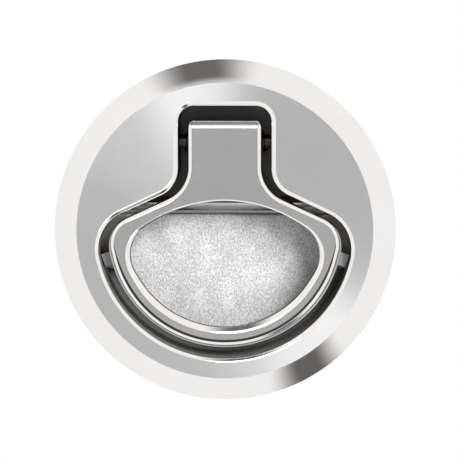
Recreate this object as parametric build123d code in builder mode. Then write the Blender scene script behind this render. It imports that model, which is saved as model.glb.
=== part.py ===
from build123d import *
import os
from math import acos, cos, degrees, radians, sin

# Flush slam latch for a round hole in a panel.
# A ring pull folds out of a recessed round face and draws a sprung bolt back behind the panel.
# X runs to the right, Z runs up towards the hinge, and -Y points out of the panel at the hand.
# The origin is the centre of the seat that lies on the panel's front. Sizes are in millimetres.

# Barrel of the housing and the flange round it
barrel_radius = 24.9
barrel_length = 20.0
barrel_wall = 2.2
barrel_lead = 0.6
flange_overhang = 5.35
flange_height = 3.0
rim_edge = 0.8
rim_bevel_width = 4.05
rim_crown = 0.2

# Seal between the flange and the panel
gasket_thickness = 1.0
gasket_width = 4.2
gasket_margin = 0.75

# Recess in the face: a round bowl, two sloping shoulders and a straight neck
recess_wall = 2.2
bowl_corner = 6.95
shoulder_slope = 24.7
shoulder_distance = 10.43
neck_half_width = 8.18
neck_top_wall = 0.8
neck_corner = 2.85
neck_flare = 5.15
recess_lip = 0.7

# Depths of the recess below the face
floor_depth = 8.5
pit_depth = 11.2
ledge_depth = 9.8
moat_depth = 12.5
floor_wall = 3.5
core_wall = 2.2
face_wall = 2.5

# Ring pull
pull_sunk = 0.2
pull_thickness = 3.4
pull_bowl_gap = 1.65
pull_corner_gap = 1.25
pull_shoulder_gap = 1.1
pull_neck_gap = 1.55
pull_top_gap = 2.55
pull_top_corner = 1.5
pull_edge_radius = 1.1
pull_lip_width = 0.45
pull_neck_lip = 0.15
pull_lip_thickness = 1.2
pull_end_roll = 1.5
ring_width = 3.6
ring_rise = 0.55
ring_top = 4.9
ring_top_radius = 24.0
ring_corner = 6.2
ring_edge_radius = 0.9

# Textured floor behind the ring
floor_margin = 0.85
pit_edge_drop = 2.5
pit_edge_radius = 0.5
ledge_width = 3.0
ledge_chamfer = 1.1
moat_top = -7.4

# Rest bumpers under the pull
bumper_angle = 20.8
bumper_length = 2.85
bumper_width = 2.3
bumper_seat = 1.2
bumper_wall_gap = 0.2

# Hinge
pin_radius = 1.25
pivot_depth = 5.8
pivot_drop = 3.85
pin_overhang = 1.9
groove_depth = 0.35
clip_thickness = 0.5
clip_radius = 2.2
clip_mouth = 1.6
boss_radius = 3.0
boss_side_room = 3.78
insertion_clearance = 0.1

# Tail of the pull
tail_back_gap = 2.4
tail_tip_radius = 1.5
tail_root_radius = 1.7
tail_side_step = 0.4

# Travel of the mechanism
pull_angle = 50.0
draw_travel = 9.95
slam_travel = 5.0

# Torsion springs on the hinge pin
torsion_wire = 0.5
torsion_turns = 3.25
torsion_gap = 0.15
torsion_play = 0.15
torsion_leg_inset = 0.4

# Draw slide
slide_thickness = 1.5
slide_half_width = 6.3
slide_above_tab = 6.3
slide_below_tab = 7.7
tab_thickness = 2.0
tab_gap = 0.3
tab_front_gap = 0.3
tab_engagement = 3.3

# Slam bolt
bolt_thickness = 10.0
bolt_below_tab = 3.7
nose_reach = 4.4
nose_flat = 2.0
nose_ramp = 6.4
nose_corner = 2.4
nose_radius = 0.6
slot_play = 0.05
spigot_radius = 2.6
spigot_height = 1.5

# Bolt spring
spring_radius = 4.0
spring_wire = 0.9
spring_turns = 7
spring_pocket = 1.0
over_travel = 2.55

# Case behind the barrel and its cover
case_side_wall = 4.65
case_end_wall = 3.5
case_corner = 2.0
bolt_channel_gap = 0.8
nut_clearance = 0.3
cover_thickness = 1.8
cover_chamfer = 0.4

# Screws through the cover and the case into the housing
screw_radius = 1.25
screw_grip = 2.8
screw_side_inset = 2.6
screw_top_inset = 5.0
screw_bottom_inset = 2.4
screw_head_radius = 2.3
screw_head_height = 1.7
screw_hole_clearance = 0.1

# Ring nut
nut_wall = 2.2
nut_width = 6.2
nut_end_gap = 0.6
nut_lugs = 12
nut_lug_height = 1.4
nut_lug_width = 5.0
nut_thread_clearance = 0.1

# Clearances
running_clearance = 0.2
guide_clearance = 0.25
slot_clearance = 0.4
pin_running_clearance = 0.06
seated_clearance = 0.01
bumper_clearance = 0.3

# Levels in depth, from the hand inwards
flange_back = -gasket_thickness
face = flange_back - flange_height
barrel_end = flange_back + barrel_length
floor = face + floor_depth
ledge = face + ledge_depth
pit_floor = face + pit_depth
moat_floor = face + moat_depth
floor_back = moat_floor + floor_wall
pull_front = face + pull_sunk
pull_back = pull_front + pull_thickness
pivot_y = face + pivot_depth
bolt_channel = barrel_end + bolt_channel_gap
slide_front = bolt_channel - running_clearance - slide_thickness
slide_channel = slide_front - running_clearance
tail_reach = slide_front - tail_back_gap - tail_tip_radius - pivot_y
bolt_front = bolt_channel + running_clearance
bolt_back = bolt_front + bolt_thickness
case_back = bolt_back + running_clearance
cover_back = case_back + cover_thickness

# Radii and half widths that follow from the barrel, the neck and the slide
flange_radius = barrel_radius + flange_overhang
bowl_radius = barrel_radius - recess_wall
cup_radius = barrel_radius - barrel_wall
case_radius = barrel_radius - nut_clearance
nut_radius = barrel_radius + nut_wall
plateau_radius = bowl_radius - pull_bowl_gap - ring_width + floor_margin
channel_half_width = slide_half_width + guide_clearance
case_half_width = channel_half_width + case_side_wall
boss_half_width = neck_half_width - boss_side_room
tail_half_width = boss_half_width - tail_side_step
tab_half_width = tail_half_width
slot_half_width = tail_half_width + slot_clearance

# Heights, from the bottom of the travel upwards
neck_top = bowl_radius - neck_top_wall
pull_top = neck_top - pull_top_gap
pivot_z = pull_top - pivot_drop
tab_top = pivot_z - tail_tip_radius - tab_gap
tab_bottom = tab_top - tab_thickness
slide_top = tab_top + slide_above_tab
slide_bottom = tab_bottom - slide_below_tab
bolt_bottom = tab_bottom - bolt_below_tab
bolt_tip = barrel_radius + nose_reach
channel_bottom = bolt_bottom - draw_travel - slam_travel - over_travel
case_bottom = channel_bottom - case_end_wall
case_top = cup_radius - running_clearance
pit_edge = ring_top - pit_edge_drop
ledge_edge = pit_edge + ledge_width
slot_top = pivot_z + tail_tip_radius + slot_clearance
slot_bottom = tab_bottom - draw_travel - slot_clearance

# Places of the hinge pin's ends, the spring and the screws
wall_outside = neck_half_width + core_wall
clip_inside = wall_outside + insertion_clearance
pin_half_length = clip_inside + clip_thickness + pin_overhang / 2
spring_y = (bolt_front + bolt_back) / 2
screw_x = case_half_width - screw_side_inset
screw_levels = (case_bottom + screw_bottom_inset, case_top - screw_top_inset)
screw_places = [(side * screw_x, level) for level in screw_levels for side in (-1, 1)]


def at_depth(depth):
    """Sketch plane parallel to the panel, seen from the front: x to the right and y up."""
    return Plane.XZ.offset(-depth)


def bell_outline(bowl, corner, shoulder, flare, neck, top, top_corner):
    """Round bowl, shoulders that slope up to a straight neck, and rounded corners."""
    slope = radians(shoulder_slope)
    arc_end = 90 - shoulder_slope - degrees(acos(shoulder / bowl))
    neck_foot = (shoulder - neck * sin(slope)) / cos(slope)
    with BuildSketch() as outline:
        with BuildLine():
            arc = CenterArc((0, 0), bowl, 180 - arc_end, 180 + 2 * arc_end)
            Polyline(arc @ 1, (neck, neck_foot), (neck, top), (-neck, top), (-neck, neck_foot), arc @ 0)
        make_face()
        fillet(outline.vertices().group_by(Axis.Y)[1], flare)
        fillet(outline.vertices().group_by(Axis.Y)[0], corner)
        fillet(outline.vertices().group_by(Axis.Y)[-1], top_corner)
    return outline.sketch


def recess_outline(grow=0):
    """Outline of the recess, or of the wall around it when it grows."""
    return bell_outline(
        bowl_radius + grow,
        bowl_corner + grow,
        shoulder_distance + grow,
        neck_flare - grow,
        neck_half_width + grow,
        neck_top + grow,
        neck_corner + grow,
    )


def pull_outline(inset=0, neck_inset=0):
    """Outline of the ring pull, with its own gap to the recess at each stretch."""
    return bell_outline(
        bowl_radius - pull_bowl_gap - inset,
        bowl_corner - pull_corner_gap - inset,
        shoulder_distance - pull_shoulder_gap - inset,
        neck_flare + pull_shoulder_gap + inset,
        neck_half_width - pull_neck_gap - neck_inset,
        pull_top - neck_inset,
        pull_top_corner - neck_inset,
    )


def ring_outline():
    """Finger opening: a round bowl under a flatter arch."""
    radius = bowl_radius - pull_bowl_gap - ring_width + ring_rise
    with BuildSketch() as opening:
        with Locations((0, ring_rise)):
            Circle(radius)
        with Locations((0, ring_top - ring_top_radius)):
            Circle(ring_top_radius, mode=Mode.INTERSECT)
        fillet(opening.vertices(), ring_corner)
    return opening.sketch


def bumper_outline(side, grow=0):
    """Block that stands square to the recess wall just above the moat."""
    lobe = bowl_radius - bowl_corner
    tilt = 90 - shoulder_slope - degrees(acos((shoulder_distance - bowl_corner) / lobe))
    reach = bowl_corner - bumper_wall_gap - bumper_length / 2
    x = lobe * cos(radians(tilt)) + reach * cos(radians(bumper_angle))
    z = lobe * sin(radians(tilt)) - reach * sin(radians(bumper_angle))
    with BuildSketch() as block:
        with Locations(Location((side * x, z), -side * bumper_angle)):
            Rectangle(bumper_length + 2 * grow, bumper_width + 2 * grow)
    return block.sketch


def case_outline(radius, inset=0):
    """Outline of the bolt case: a straight block that stays inside a round envelope."""
    height = case_top - case_bottom - 2 * inset
    with BuildSketch() as outline:
        with Locations((0, (case_top + case_bottom) / 2)):
            Rectangle(2 * (case_half_width - inset), height)
        fillet(outline.vertices().group_by(Axis.Y)[0], case_corner)
        Circle(radius - inset, mode=Mode.INTERSECT)
    return outline.sketch


# Housing: flange, barrel and the recess with its floor, cast in one piece
with BuildPart() as housing:
    with BuildSketch(Plane.XY):
        with BuildLine():
            rim = SagittaArc(
                (flange_radius - rim_bevel_width, face), (flange_radius, flange_back - rim_edge), -rim_crown
            )
            Polyline(
                rim @ 1,
                (flange_radius, flange_back),
                (barrel_radius, flange_back),
                (barrel_radius, barrel_end - barrel_lead),
                (barrel_radius - barrel_lead, barrel_end),
                (0, barrel_end),
                (0, face),
                rim @ 0,
            )
        make_face()
    revolve(axis=Axis.Y)
    with BuildSketch(at_depth(face)):
        add(recess_outline())
    extrude(amount=-floor_depth, mode=Mode.SUBTRACT)
    mouth = housing.faces().filter_by(Axis.Y).sort_by(Axis.Y)[0].inner_wires()[0].edges()
    fillet(mouth, recess_lip)
    # Ledge behind the floor's upper edge, then the pit behind the pull's neck
    for depth, level, edge in ((floor, ledge, pit_edge), (ledge, pit_floor, ledge_edge)):
        with BuildSketch(at_depth(depth)):
            add(recess_outline())
            with Locations((0, edge)):
                Rectangle(2 * bowl_radius, neck_top, align=(Align.CENTER, Align.MIN), mode=Mode.INTERSECT)
        extrude(amount=depth - level, mode=Mode.SUBTRACT)
    steps = housing.edges().filter_by(Axis.X)
    fillet(steps.filter_by_position(Axis.Y, floor - 0.01, floor + 0.01), pit_edge_radius)
    steps = housing.edges().filter_by(Axis.X).filter_by_position(Axis.Z, ledge_edge - 0.01, ledge_edge + 0.01)
    chamfer(steps.group_by(Axis.Y)[0], ledge_chamfer)
    # Finger moat along the bowl
    with BuildSketch(at_depth(floor)):
        add(recess_outline())
        with Locations((0, moat_top)):
            Rectangle(2 * bowl_radius, bowl_radius, align=(Align.CENTER, Align.MAX), mode=Mode.INTERSECT)
        Circle(plateau_radius, mode=Mode.SUBTRACT)
    extrude(amount=floor - moat_floor, mode=Mode.SUBTRACT)
    # Seats of the bumpers
    with BuildSketch(at_depth(floor)):
        for side in (-1, 1):
            add(bumper_outline(side, seated_clearance))
    extrude(amount=-bumper_seat, mode=Mode.SUBTRACT)
    # Slot for the pull's tail and the draw slide's tab
    with BuildSketch(at_depth(pit_floor)):
        with Locations((0, (slot_top + slot_bottom) / 2)):
            Rectangle(2 * slot_half_width, slot_top - slot_bottom)
    extrude(amount=pit_floor - barrel_end, mode=Mode.SUBTRACT)
    # Cup behind the floor, and cores beside the neck that keep the wall even
    with BuildSketch(at_depth(barrel_end)):
        Circle(cup_radius)
    extrude(amount=barrel_end - floor_back, mode=Mode.SUBTRACT)
    with BuildSketch(at_depth(floor_back)):
        Circle(cup_radius)
        add(recess_outline(core_wall), mode=Mode.SUBTRACT)
    extrude(amount=floor_back - face - face_wall, mode=Mode.SUBTRACT)
    # Cross hole of the hinge pin
    with BuildSketch(Plane.YZ):
        with Locations((pivot_y, pivot_z)):
            Circle(pin_radius + seated_clearance)
    extrude(amount=barrel_radius, both=True, mode=Mode.SUBTRACT)
    # Tapped holes for the case screws
    with BuildSketch(at_depth(floor_back)):
        with Locations(*screw_places):
            Circle(screw_radius + seated_clearance)
    extrude(amount=screw_grip, mode=Mode.SUBTRACT)

# Ring pull with its hinge boss and its tail
with BuildPart() as handle:
    with BuildSketch(at_depth(pull_back - pull_lip_thickness)):
        add(pull_outline(pull_lip_width, pull_neck_lip))
        add(ring_outline(), mode=Mode.SUBTRACT)
    extrude(amount=pull_thickness - pull_lip_thickness)
    front = handle.faces().filter_by(Axis.Y).sort_by(Axis.Y)[0]
    fillet(front.outer_wire().edges(), pull_edge_radius)
    front = handle.faces().filter_by(Axis.Y).sort_by(Axis.Y)[0]
    fillet(front.inner_wires()[0].edges(), ring_edge_radius)
    with BuildSketch(at_depth(pull_back)):
        add(pull_outline())
        add(ring_outline(), mode=Mode.SUBTRACT)
    extrude(amount=pull_lip_thickness)
    # Rolled upper end of the neck
    with BuildSketch(Plane.YZ):
        with Locations((pull_front, pull_top - pull_neck_lip)):
            Rectangle(2 * pull_end_roll, 2 * pull_end_roll)
        with Locations((pull_front + pull_end_roll, pull_top - pull_neck_lip - pull_end_roll)):
            Circle(pull_end_roll, mode=Mode.SUBTRACT)
    extrude(amount=neck_half_width, both=True, mode=Mode.SUBTRACT)
    with BuildSketch(Plane.YZ):
        with Locations((pivot_y, pivot_z)):
            Circle(boss_radius)
        with Locations((pull_back, pivot_z)):
            Rectangle(pivot_y - pull_back, 2 * boss_radius, align=(Align.MIN, Align.CENTER))
    extrude(amount=boss_half_width, both=True)
    with BuildSketch(Plane.YZ):
        with Locations((pivot_y, pivot_z)):
            Circle(tail_root_radius)
        with Locations((pivot_y + tail_reach, pivot_z)):
            Circle(tail_tip_radius)
        make_hull()
    extrude(amount=tail_half_width, both=True)
    with BuildSketch(Plane.YZ):
        with Locations((pivot_y, pivot_z)):
            Circle(pin_radius + pin_running_clearance)
    extrude(amount=neck_half_width, both=True, mode=Mode.SUBTRACT)

# Hinge pin with a groove for a clip at each end
with BuildPart() as hinge_pin:
    with BuildSketch(Plane.YZ):
        with Locations((pivot_y, pivot_z)):
            Circle(pin_radius)
    extrude(amount=pin_half_length, both=True)
    chamfer(hinge_pin.edges().filter_by(GeomType.CIRCLE), groove_depth / 2)
    for side in (-1, 1):
        with BuildSketch(Plane.YZ.offset(side * (clip_inside + clip_thickness / 2))):
            with Locations((pivot_y, pivot_z)):
                Circle(pin_radius)
                Circle(pin_radius - groove_depth, mode=Mode.SUBTRACT)
        extrude(amount=clip_thickness / 2 + seated_clearance, both=True, mode=Mode.SUBTRACT)

# Retaining clips on the pin's ends
pin_clips = {}
for side, name in ((-1, "left"), (1, "right")):
    with BuildPart() as clip:
        with BuildSketch(Plane.YZ.offset(side * (clip_inside + clip_thickness / 2))):
            with Locations((pivot_y, pivot_z)):
                Circle(clip_radius)
                Circle(pin_radius - groove_depth + seated_clearance, mode=Mode.SUBTRACT)
                Rectangle(clip_radius, clip_mouth, align=(Align.MIN, Align.CENTER), mode=Mode.SUBTRACT)
        extrude(amount=clip_thickness / 2, both=True)
    pin_clips[name] = clip.part

# Torsion springs beside the boss: one leg lies behind the pull, the other stands on the pit's floor
coil_radius = pin_radius + torsion_play + torsion_wire / 2
coil_start = boss_half_width + torsion_gap + torsion_wire / 2
coil_pitch = torsion_wire + torsion_gap
hinge_axis = Axis((0, pivot_y, pivot_z), (1, 0, 0))
with BuildPart() as torsion_coil:
    with BuildLine():
        coil = Helix(
            coil_pitch,
            torsion_turns * coil_pitch,
            coil_radius,
            center=(coil_start, pivot_y, pivot_z),
            direction=(1, 0, 0),
        )
    with BuildSketch(Plane(origin=coil @ 0, z_dir=coil % 0)):
        Circle(torsion_wire / 2)
    sweep(is_frenet=True)
    inner_end, outer_end = torsion_coil.faces().filter_by(GeomType.PLANE).sort_by(Axis.X)
    extrude(inner_end, amount=pull_top - pivot_z - torsion_leg_inset)
    extrude(outer_end, amount=pit_floor - pivot_y - seated_clearance)
with BuildPart() as handle_spring_right:
    add(torsion_coil.part.rotate(hinge_axis, 90))
with BuildPart() as handle_spring_left:
    add(handle_spring_right.part.mirror(Plane.YZ))
handle_springs = {"left": handle_spring_left.part, "right": handle_spring_right.part}

# Draw slide: a flat runner with a tab that reaches from the tail into the bolt
with BuildPart() as draw_slide:
    with BuildSketch(at_depth(slide_front)):
        with Locations((0, (slide_top + slide_bottom) / 2)):
            RectangleRounded(2 * slide_half_width, slide_top - slide_bottom, nose_radius)
    extrude(amount=-slide_thickness)
    with BuildSketch(at_depth(pit_floor + tab_front_gap)):
        with Locations((0, (tab_top + tab_bottom) / 2)):
            Rectangle(2 * tab_half_width, tab_thickness)
    extrude(amount=pit_floor + tab_front_gap - bolt_front - tab_engagement)

# Slam bolt: a bar with a bevelled nose, cut-off corners and a long slot for the tab
with BuildPart() as slam_bolt:
    with BuildSketch(Plane.YZ):
        Polygon(
            (bolt_front, bolt_bottom),
            (bolt_front, bolt_tip),
            (bolt_front + nose_flat, bolt_tip),
            (bolt_back, bolt_tip - nose_ramp),
            (bolt_back, bolt_bottom),
            align=None,
        )
    extrude(amount=slide_half_width, both=True)
    with BuildSketch(at_depth(bolt_front)) as bolt_view:
        with Locations((0, bolt_bottom)):
            Rectangle(2 * slide_half_width, bolt_tip - bolt_bottom, align=(Align.CENTER, Align.MIN))
        chamfer(bolt_view.vertices().group_by(Axis.Y)[-1], nose_corner)
    extrude(amount=-bolt_thickness, mode=Mode.INTERSECT)
    fillet(slam_bolt.faces().sort_by(Axis.Z)[-1].edges(), nose_radius)
    with BuildSketch(at_depth(bolt_front)):
        with Locations((0, tab_bottom - slot_play)):
            Rectangle(
                2 * (tab_half_width + running_clearance),
                tab_thickness + slam_travel + slot_play + slot_clearance,
                align=(Align.CENTER, Align.MIN),
            )
    extrude(amount=-tab_engagement - running_clearance, mode=Mode.SUBTRACT)
    with BuildSketch(Plane.XY.offset(bolt_bottom)):
        with Locations((0, spring_y)):
            Circle(spigot_radius)
    extrude(amount=-spigot_height)

# Bolt spring between the foot of the case and the bolt
spring_foot = channel_bottom - spring_pocket + spring_wire / 2 + seated_clearance
spring_head = bolt_bottom - spring_wire / 2 - seated_clearance
with BuildPart() as bolt_spring:
    with BuildLine():
        coil = Helix(
            (spring_head - spring_foot) / spring_turns,
            spring_head - spring_foot,
            spring_radius - spring_wire / 2,
            center=(0, spring_y, spring_foot),
        )
    with BuildSketch(Plane(origin=coil @ 0, z_dir=coil % 0)):
        Circle(spring_wire / 2)
    sweep(is_frenet=True)

# Case that guides the slide and the bolt, closed by a flat cover
with BuildPart() as bolt_case:
    with BuildSketch(at_depth(floor_back)):
        add(case_outline(cup_radius - running_clearance))
    extrude(amount=floor_back - barrel_end)
    with BuildSketch(at_depth(barrel_end)):
        add(case_outline(case_radius))
    extrude(amount=barrel_end - case_back)
    with BuildSketch(at_depth(floor_back)):
        with Locations((0, (slot_top + slot_bottom) / 2)):
            Rectangle(2 * slot_half_width, slot_top - slot_bottom)
    extrude(amount=floor_back - slide_channel, mode=Mode.SUBTRACT)
    with BuildSketch(at_depth(slide_channel)):
        with Locations((0, channel_bottom)):
            Rectangle(
                2 * channel_half_width,
                slide_top + slot_clearance - channel_bottom,
                align=(Align.CENTER, Align.MIN),
            )
    extrude(amount=slide_channel - case_back, mode=Mode.SUBTRACT)
    with BuildSketch(at_depth(bolt_channel)):
        with Locations((0, channel_bottom)):
            Rectangle(2 * channel_half_width, 2 * case_radius, align=(Align.CENTER, Align.MIN))
    extrude(amount=bolt_channel - case_back, mode=Mode.SUBTRACT)
    with BuildSketch(Plane.XY.offset(channel_bottom)):
        with Locations((0, spring_y)):
            Circle(spring_radius + running_clearance)
    extrude(amount=-spring_pocket, mode=Mode.SUBTRACT)
    with BuildSketch(at_depth(floor_back)):
        with Locations(*screw_places):
            Circle(screw_radius + screw_hole_clearance)
    extrude(amount=floor_back - case_back, mode=Mode.SUBTRACT)

with BuildPart() as rear_cover:
    with BuildSketch(at_depth(case_back)):
        add(case_outline(case_radius))
        with Locations(*screw_places):
            Circle(screw_radius + screw_hole_clearance, mode=Mode.SUBTRACT)
    extrude(amount=-cover_thickness)
    chamfer(rear_cover.faces().sort_by(Axis.Y)[-1].outer_wire().edges(), cover_chamfer)

# Screws that hold the cover and the case on the housing
cover_screws = []
for place in screw_places:
    with BuildPart() as screw:
        with BuildSketch(at_depth(cover_back)):
            with Locations(place):
                Circle(screw_head_radius)
        extrude(amount=-screw_head_height)
        fillet(screw.edges().group_by(Axis.Y)[-1], screw_head_height / 2)
        with BuildSketch(at_depth(cover_back)):
            with Locations(place):
                Circle(screw_radius)
        extrude(amount=cover_back - floor_back + screw_grip - running_clearance)
    cover_screws.append(screw.part)

# Ring nut that clamps the panel
nut_back = barrel_end - nut_end_gap
with BuildPart() as mounting_nut:
    with BuildSketch(at_depth(nut_back - nut_width)):
        Circle(nut_radius)
        with PolarLocations(nut_radius, nut_lugs):
            RectangleRounded(2 * nut_lug_height, nut_lug_width, nut_lug_height / 2)
        Circle(barrel_radius + nut_thread_clearance, mode=Mode.SUBTRACT)
    extrude(amount=-nut_width)

# Gasket under the flange
with BuildPart() as flange_gasket:
    with BuildSketch(at_depth(flange_back)):
        Circle(flange_radius - gasket_margin)
        Circle(flange_radius - gasket_margin - gasket_width, mode=Mode.SUBTRACT)
    extrude(amount=-gasket_thickness)

# Rest bumpers seated in the floor
rest_bumpers = {}
for side, name in ((-1, "left"), (1, "right")):
    with BuildPart() as bumper:
        with BuildSketch(at_depth(pull_back + bumper_clearance)):
            add(bumper_outline(side))
        extrude(amount=pull_back + bumper_clearance - floor - bumper_seat)
    rest_bumpers[name] = bumper.part

pieces = {
    "housing": housing.part,
    "handle": handle.part,
    "hinge_pin": hinge_pin.part,
    "draw_slide": draw_slide.part,
    "slam_bolt": slam_bolt.part,
    "bolt_spring": bolt_spring.part,
    "bolt_case": bolt_case.part,
    "rear_cover": rear_cover.part,
    "mounting_nut": mounting_nut.part,
    "flange_gasket": flange_gasket.part,
}
for name in ("left", "right"):
    pieces["pin_clip_" + name] = pin_clips[name]
    pieces["handle_spring_" + name] = handle_springs[name]
    pieces["rest_bumper_" + name] = rest_bumpers[name]
for number, screw_part in enumerate(cover_screws, start=1):
    pieces["cover_screw_" + str(number)] = screw_part

os.makedirs("parts", exist_ok=True)
for name, piece in pieces.items():
    piece.label = name
    export_step(piece, "parts/" + name + ".step")
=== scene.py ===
"""Looks of a flush slam latch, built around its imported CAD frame.

A ring pull folds out of a recessed round face and draws a sprung bolt back behind the panel.
Sizes are in millimetres until a mesh is made. X runs right, Z up, and -Y out to the hand.
"""

import logging
from dataclasses import dataclass, replace
from enum import Enum
from math import acos, asin, cos, hypot, pi, radians, sin
from typing import Any, Optional, Sequence

import bmesh
import bpy
import numpy as np
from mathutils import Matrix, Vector
from mathutils.kdtree import KDTree


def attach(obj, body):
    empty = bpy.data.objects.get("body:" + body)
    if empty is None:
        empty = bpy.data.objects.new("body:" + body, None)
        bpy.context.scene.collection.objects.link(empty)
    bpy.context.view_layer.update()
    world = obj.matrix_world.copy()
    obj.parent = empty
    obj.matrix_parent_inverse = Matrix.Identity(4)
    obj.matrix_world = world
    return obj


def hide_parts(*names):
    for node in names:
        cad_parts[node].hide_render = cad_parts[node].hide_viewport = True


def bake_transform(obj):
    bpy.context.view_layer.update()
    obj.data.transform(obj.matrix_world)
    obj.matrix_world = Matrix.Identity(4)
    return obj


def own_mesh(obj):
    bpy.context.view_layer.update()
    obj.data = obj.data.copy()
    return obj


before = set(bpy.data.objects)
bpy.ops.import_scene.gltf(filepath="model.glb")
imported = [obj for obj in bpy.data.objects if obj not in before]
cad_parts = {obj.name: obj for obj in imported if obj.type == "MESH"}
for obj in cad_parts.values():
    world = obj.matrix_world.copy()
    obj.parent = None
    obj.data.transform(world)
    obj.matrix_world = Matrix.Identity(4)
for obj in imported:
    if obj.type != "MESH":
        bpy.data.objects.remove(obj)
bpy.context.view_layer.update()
METRES = 0.001
SAME_POINT = 1e-7
SAME_CAD_POINT = 1e-6
SHARP_ANGLE = radians(14)
MOULDED_ANGLE = radians(25)
RIDGE_ANGLE = radians(30)
ROUND_ANGLE = radians(40)
HOLE_STEPS = 48
RING_STEPS = 192

log = logging.getLogger("slam_latch")


# Shared sizes


@dataclass(frozen=True)
class Levels:
    """Depths and heights that several pieces share, in millimetres."""

    face: float = -4.0
    flange_back: float = -1.0
    barrel_end: float = 19.0
    floor: float = 4.5
    ledge: float = 5.8
    pit_floor: float = 7.2
    moat_floor: float = 8.5
    floor_back: float = 12.0
    pull_front: float = -3.8
    pull_back: float = -0.4
    pivot_y: float = 1.8
    pivot_z: float = 15.5
    cover_back: float = 32.0


LEVELS = Levels()


@dataclass(frozen=True)
class Bell:
    """Round bowl, shoulders that slope up to a straight neck, and rounded corners."""

    bowl: float
    corner: float
    shoulder: float
    flare: float
    neck: float
    top: float
    top_corner: float
    slope: float = radians(24.7)
    least_corner: float = 0.02
    bowl_steps: int = 72
    corner_steps: int = 30
    flare_steps: int = 20
    side_steps: int = 14
    top_corner_steps: int = 12
    top_steps: int = 10

    def grown(self, amount: float) -> "Bell":
        """Gives the outline that lies evenly outside this one.

        Args:
            amount: Distance between the two outlines, negative for an inset.

        Returns:
            The larger or smaller outline.
        """
        return replace(
            self,
            bowl=self.bowl + amount,
            corner=self.corner + amount,
            shoulder=self.shoulder + amount,
            flare=self.flare - amount,
            neck=self.neck + amount,
            top=self.top + amount,
            top_corner=max(self.top_corner + amount, self.least_corner),
        )

    def loop(self) -> np.ndarray:
        """Samples the outline, with the same count of points on each stretch at any growth.

        Returns:
            Points as rows of x and z, counter-clockwise from the bottom as the hand sees it.
        """
        normal = pi / 2 - self.slope
        lobe = self.bowl - self.corner
        tilt = normal - acos((self.shoulder - self.corner) / lobe)
        lobe_centre = (lobe * cos(tilt), lobe * sin(tilt))
        foot = self.neck + self.flare
        flare_z = (self.shoulder + self.flare - foot * sin(self.slope)) / cos(self.slope)
        soft = self.top_corner
        bowl = arc_points(0.0, 0.0, self.bowl, -pi / 2, tilt, self.bowl_steps)
        corner = arc_points(*lobe_centre, self.corner, tilt, normal, self.corner_steps)
        flare = arc_points(foot, flare_z, self.flare, normal + pi, pi, self.flare_steps)
        end = arc_points(self.neck - soft, self.top - soft, soft, 0.0, pi / 2, self.top_corner_steps)
        half = np.vstack(
            (
                bowl[:-1],
                corner[:-1],
                line_points(corner[-1], flare[0], self.side_steps)[:-1],
                flare[:-1],
                line_points(flare[-1], end[0], self.side_steps)[:-1],
                end[:-1],
                line_points(end[-1], (0.0, self.top), self.top_steps),
            )
        )
        mirrored = half[1:-1][::-1] * (-1, 1)
        return np.vstack((half, mirrored))


@dataclass(frozen=True)
class RingOpening:
    """Finger opening of the ring pull: a round bowl under a flatter arch."""

    radius: float = 18.0
    rise: float = 0.55
    top: float = 5.3
    arch: float = 24.0
    corner: float = 6.2
    eye_z: float = -4.0

    def loop(self, rays: np.ndarray, grow: float = 0.0) -> np.ndarray:
        """Finds the points of the opening's edge along rays from its middle.

        Args:
            rays: Points as rows of x and z that the rays go through.
            grow: Distance outside the opening's own edge.

        Returns:
            One point of the edge for each ray.
        """
        eye = np.array((0.0, self.eye_z))
        away = rays - eye
        away = away / np.linalg.norm(away, axis=1)[:, None]
        bowl = np.array((0.0, self.rise))
        arch = np.array((0.0, self.top - self.arch))
        bowl_radius, arch_radius, corner = self.radius + grow, self.arch + grow, self.corner + grow
        reach = np.minimum(
            ray_to_circle(eye, away, bowl, bowl_radius), ray_to_circle(eye, away, arch, arch_radius)
        )
        gap = bowl[1] - arch[1]
        near, far = bowl_radius - corner, arch_radius - corner
        z = arch[1] + (far**2 - near**2 + gap**2) / (2 * gap)
        x = (far**2 - (z - arch[1]) ** 2) ** 0.5
        for side in (-1, 1):
            centre = np.array((side * x, z))
            low = bowl + bowl_radius * (centre - bowl) / near - eye
            high = arch + arch_radius * (centre - arch) / far - eye
            turn = side * (low[0] * away[:, 1] - low[1] * away[:, 0])
            back = side * (away[:, 0] * high[1] - away[:, 1] * high[0])
            inside = (turn > 0) & (back > 0) & (side * away[:, 0] > 0)
            reach[inside] = ray_to_circle(eye, away[inside], centre, corner)
        return eye + away * reach[:, None]


def arc_points(x: float, z: float, radius: float, start: float, end: float, count: int) -> np.ndarray:
    """Samples an arc.

    Args:
        x: Centre's x.
        z: Centre's z.
        radius: Radius of the arc.
        start: Angle of its first point, in radians.
        end: Angle of its last point.
        count: Number of steps.

    Returns:
        The points as rows of x and z, both ends among them.
    """
    angles = np.linspace(start, end, count + 1)
    return np.column_stack((x + radius * np.cos(angles), z + radius * np.sin(angles)))


def line_points(start: Sequence[float], end: Sequence[float], count: int) -> np.ndarray:
    """Samples a straight line, both ends among the points.

    Args:
        start: First point.
        end: Last point.
        count: Number of steps.

    Returns:
        The points as rows.
    """
    share = np.linspace(0, 1, count + 1)[:, None]
    return np.array(start) * (1 - share) + np.array(end) * share


def ray_to_circle(eye: np.ndarray, away: np.ndarray, centre: np.ndarray, radius: float) -> np.ndarray:
    """Finds how far rays run from a point to the far side of a circle.

    Args:
        eye: Where the rays start.
        away: Their unit directions, as rows.
        centre: Centre of the circle.
        radius: Radius of the circle.

    Returns:
        One distance for each ray.
    """
    offset = eye - centre
    along = away @ offset
    under = np.maximum(along**2 - offset @ offset + radius**2, 0)
    return -along + np.sqrt(under)


# Mesh making


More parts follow.
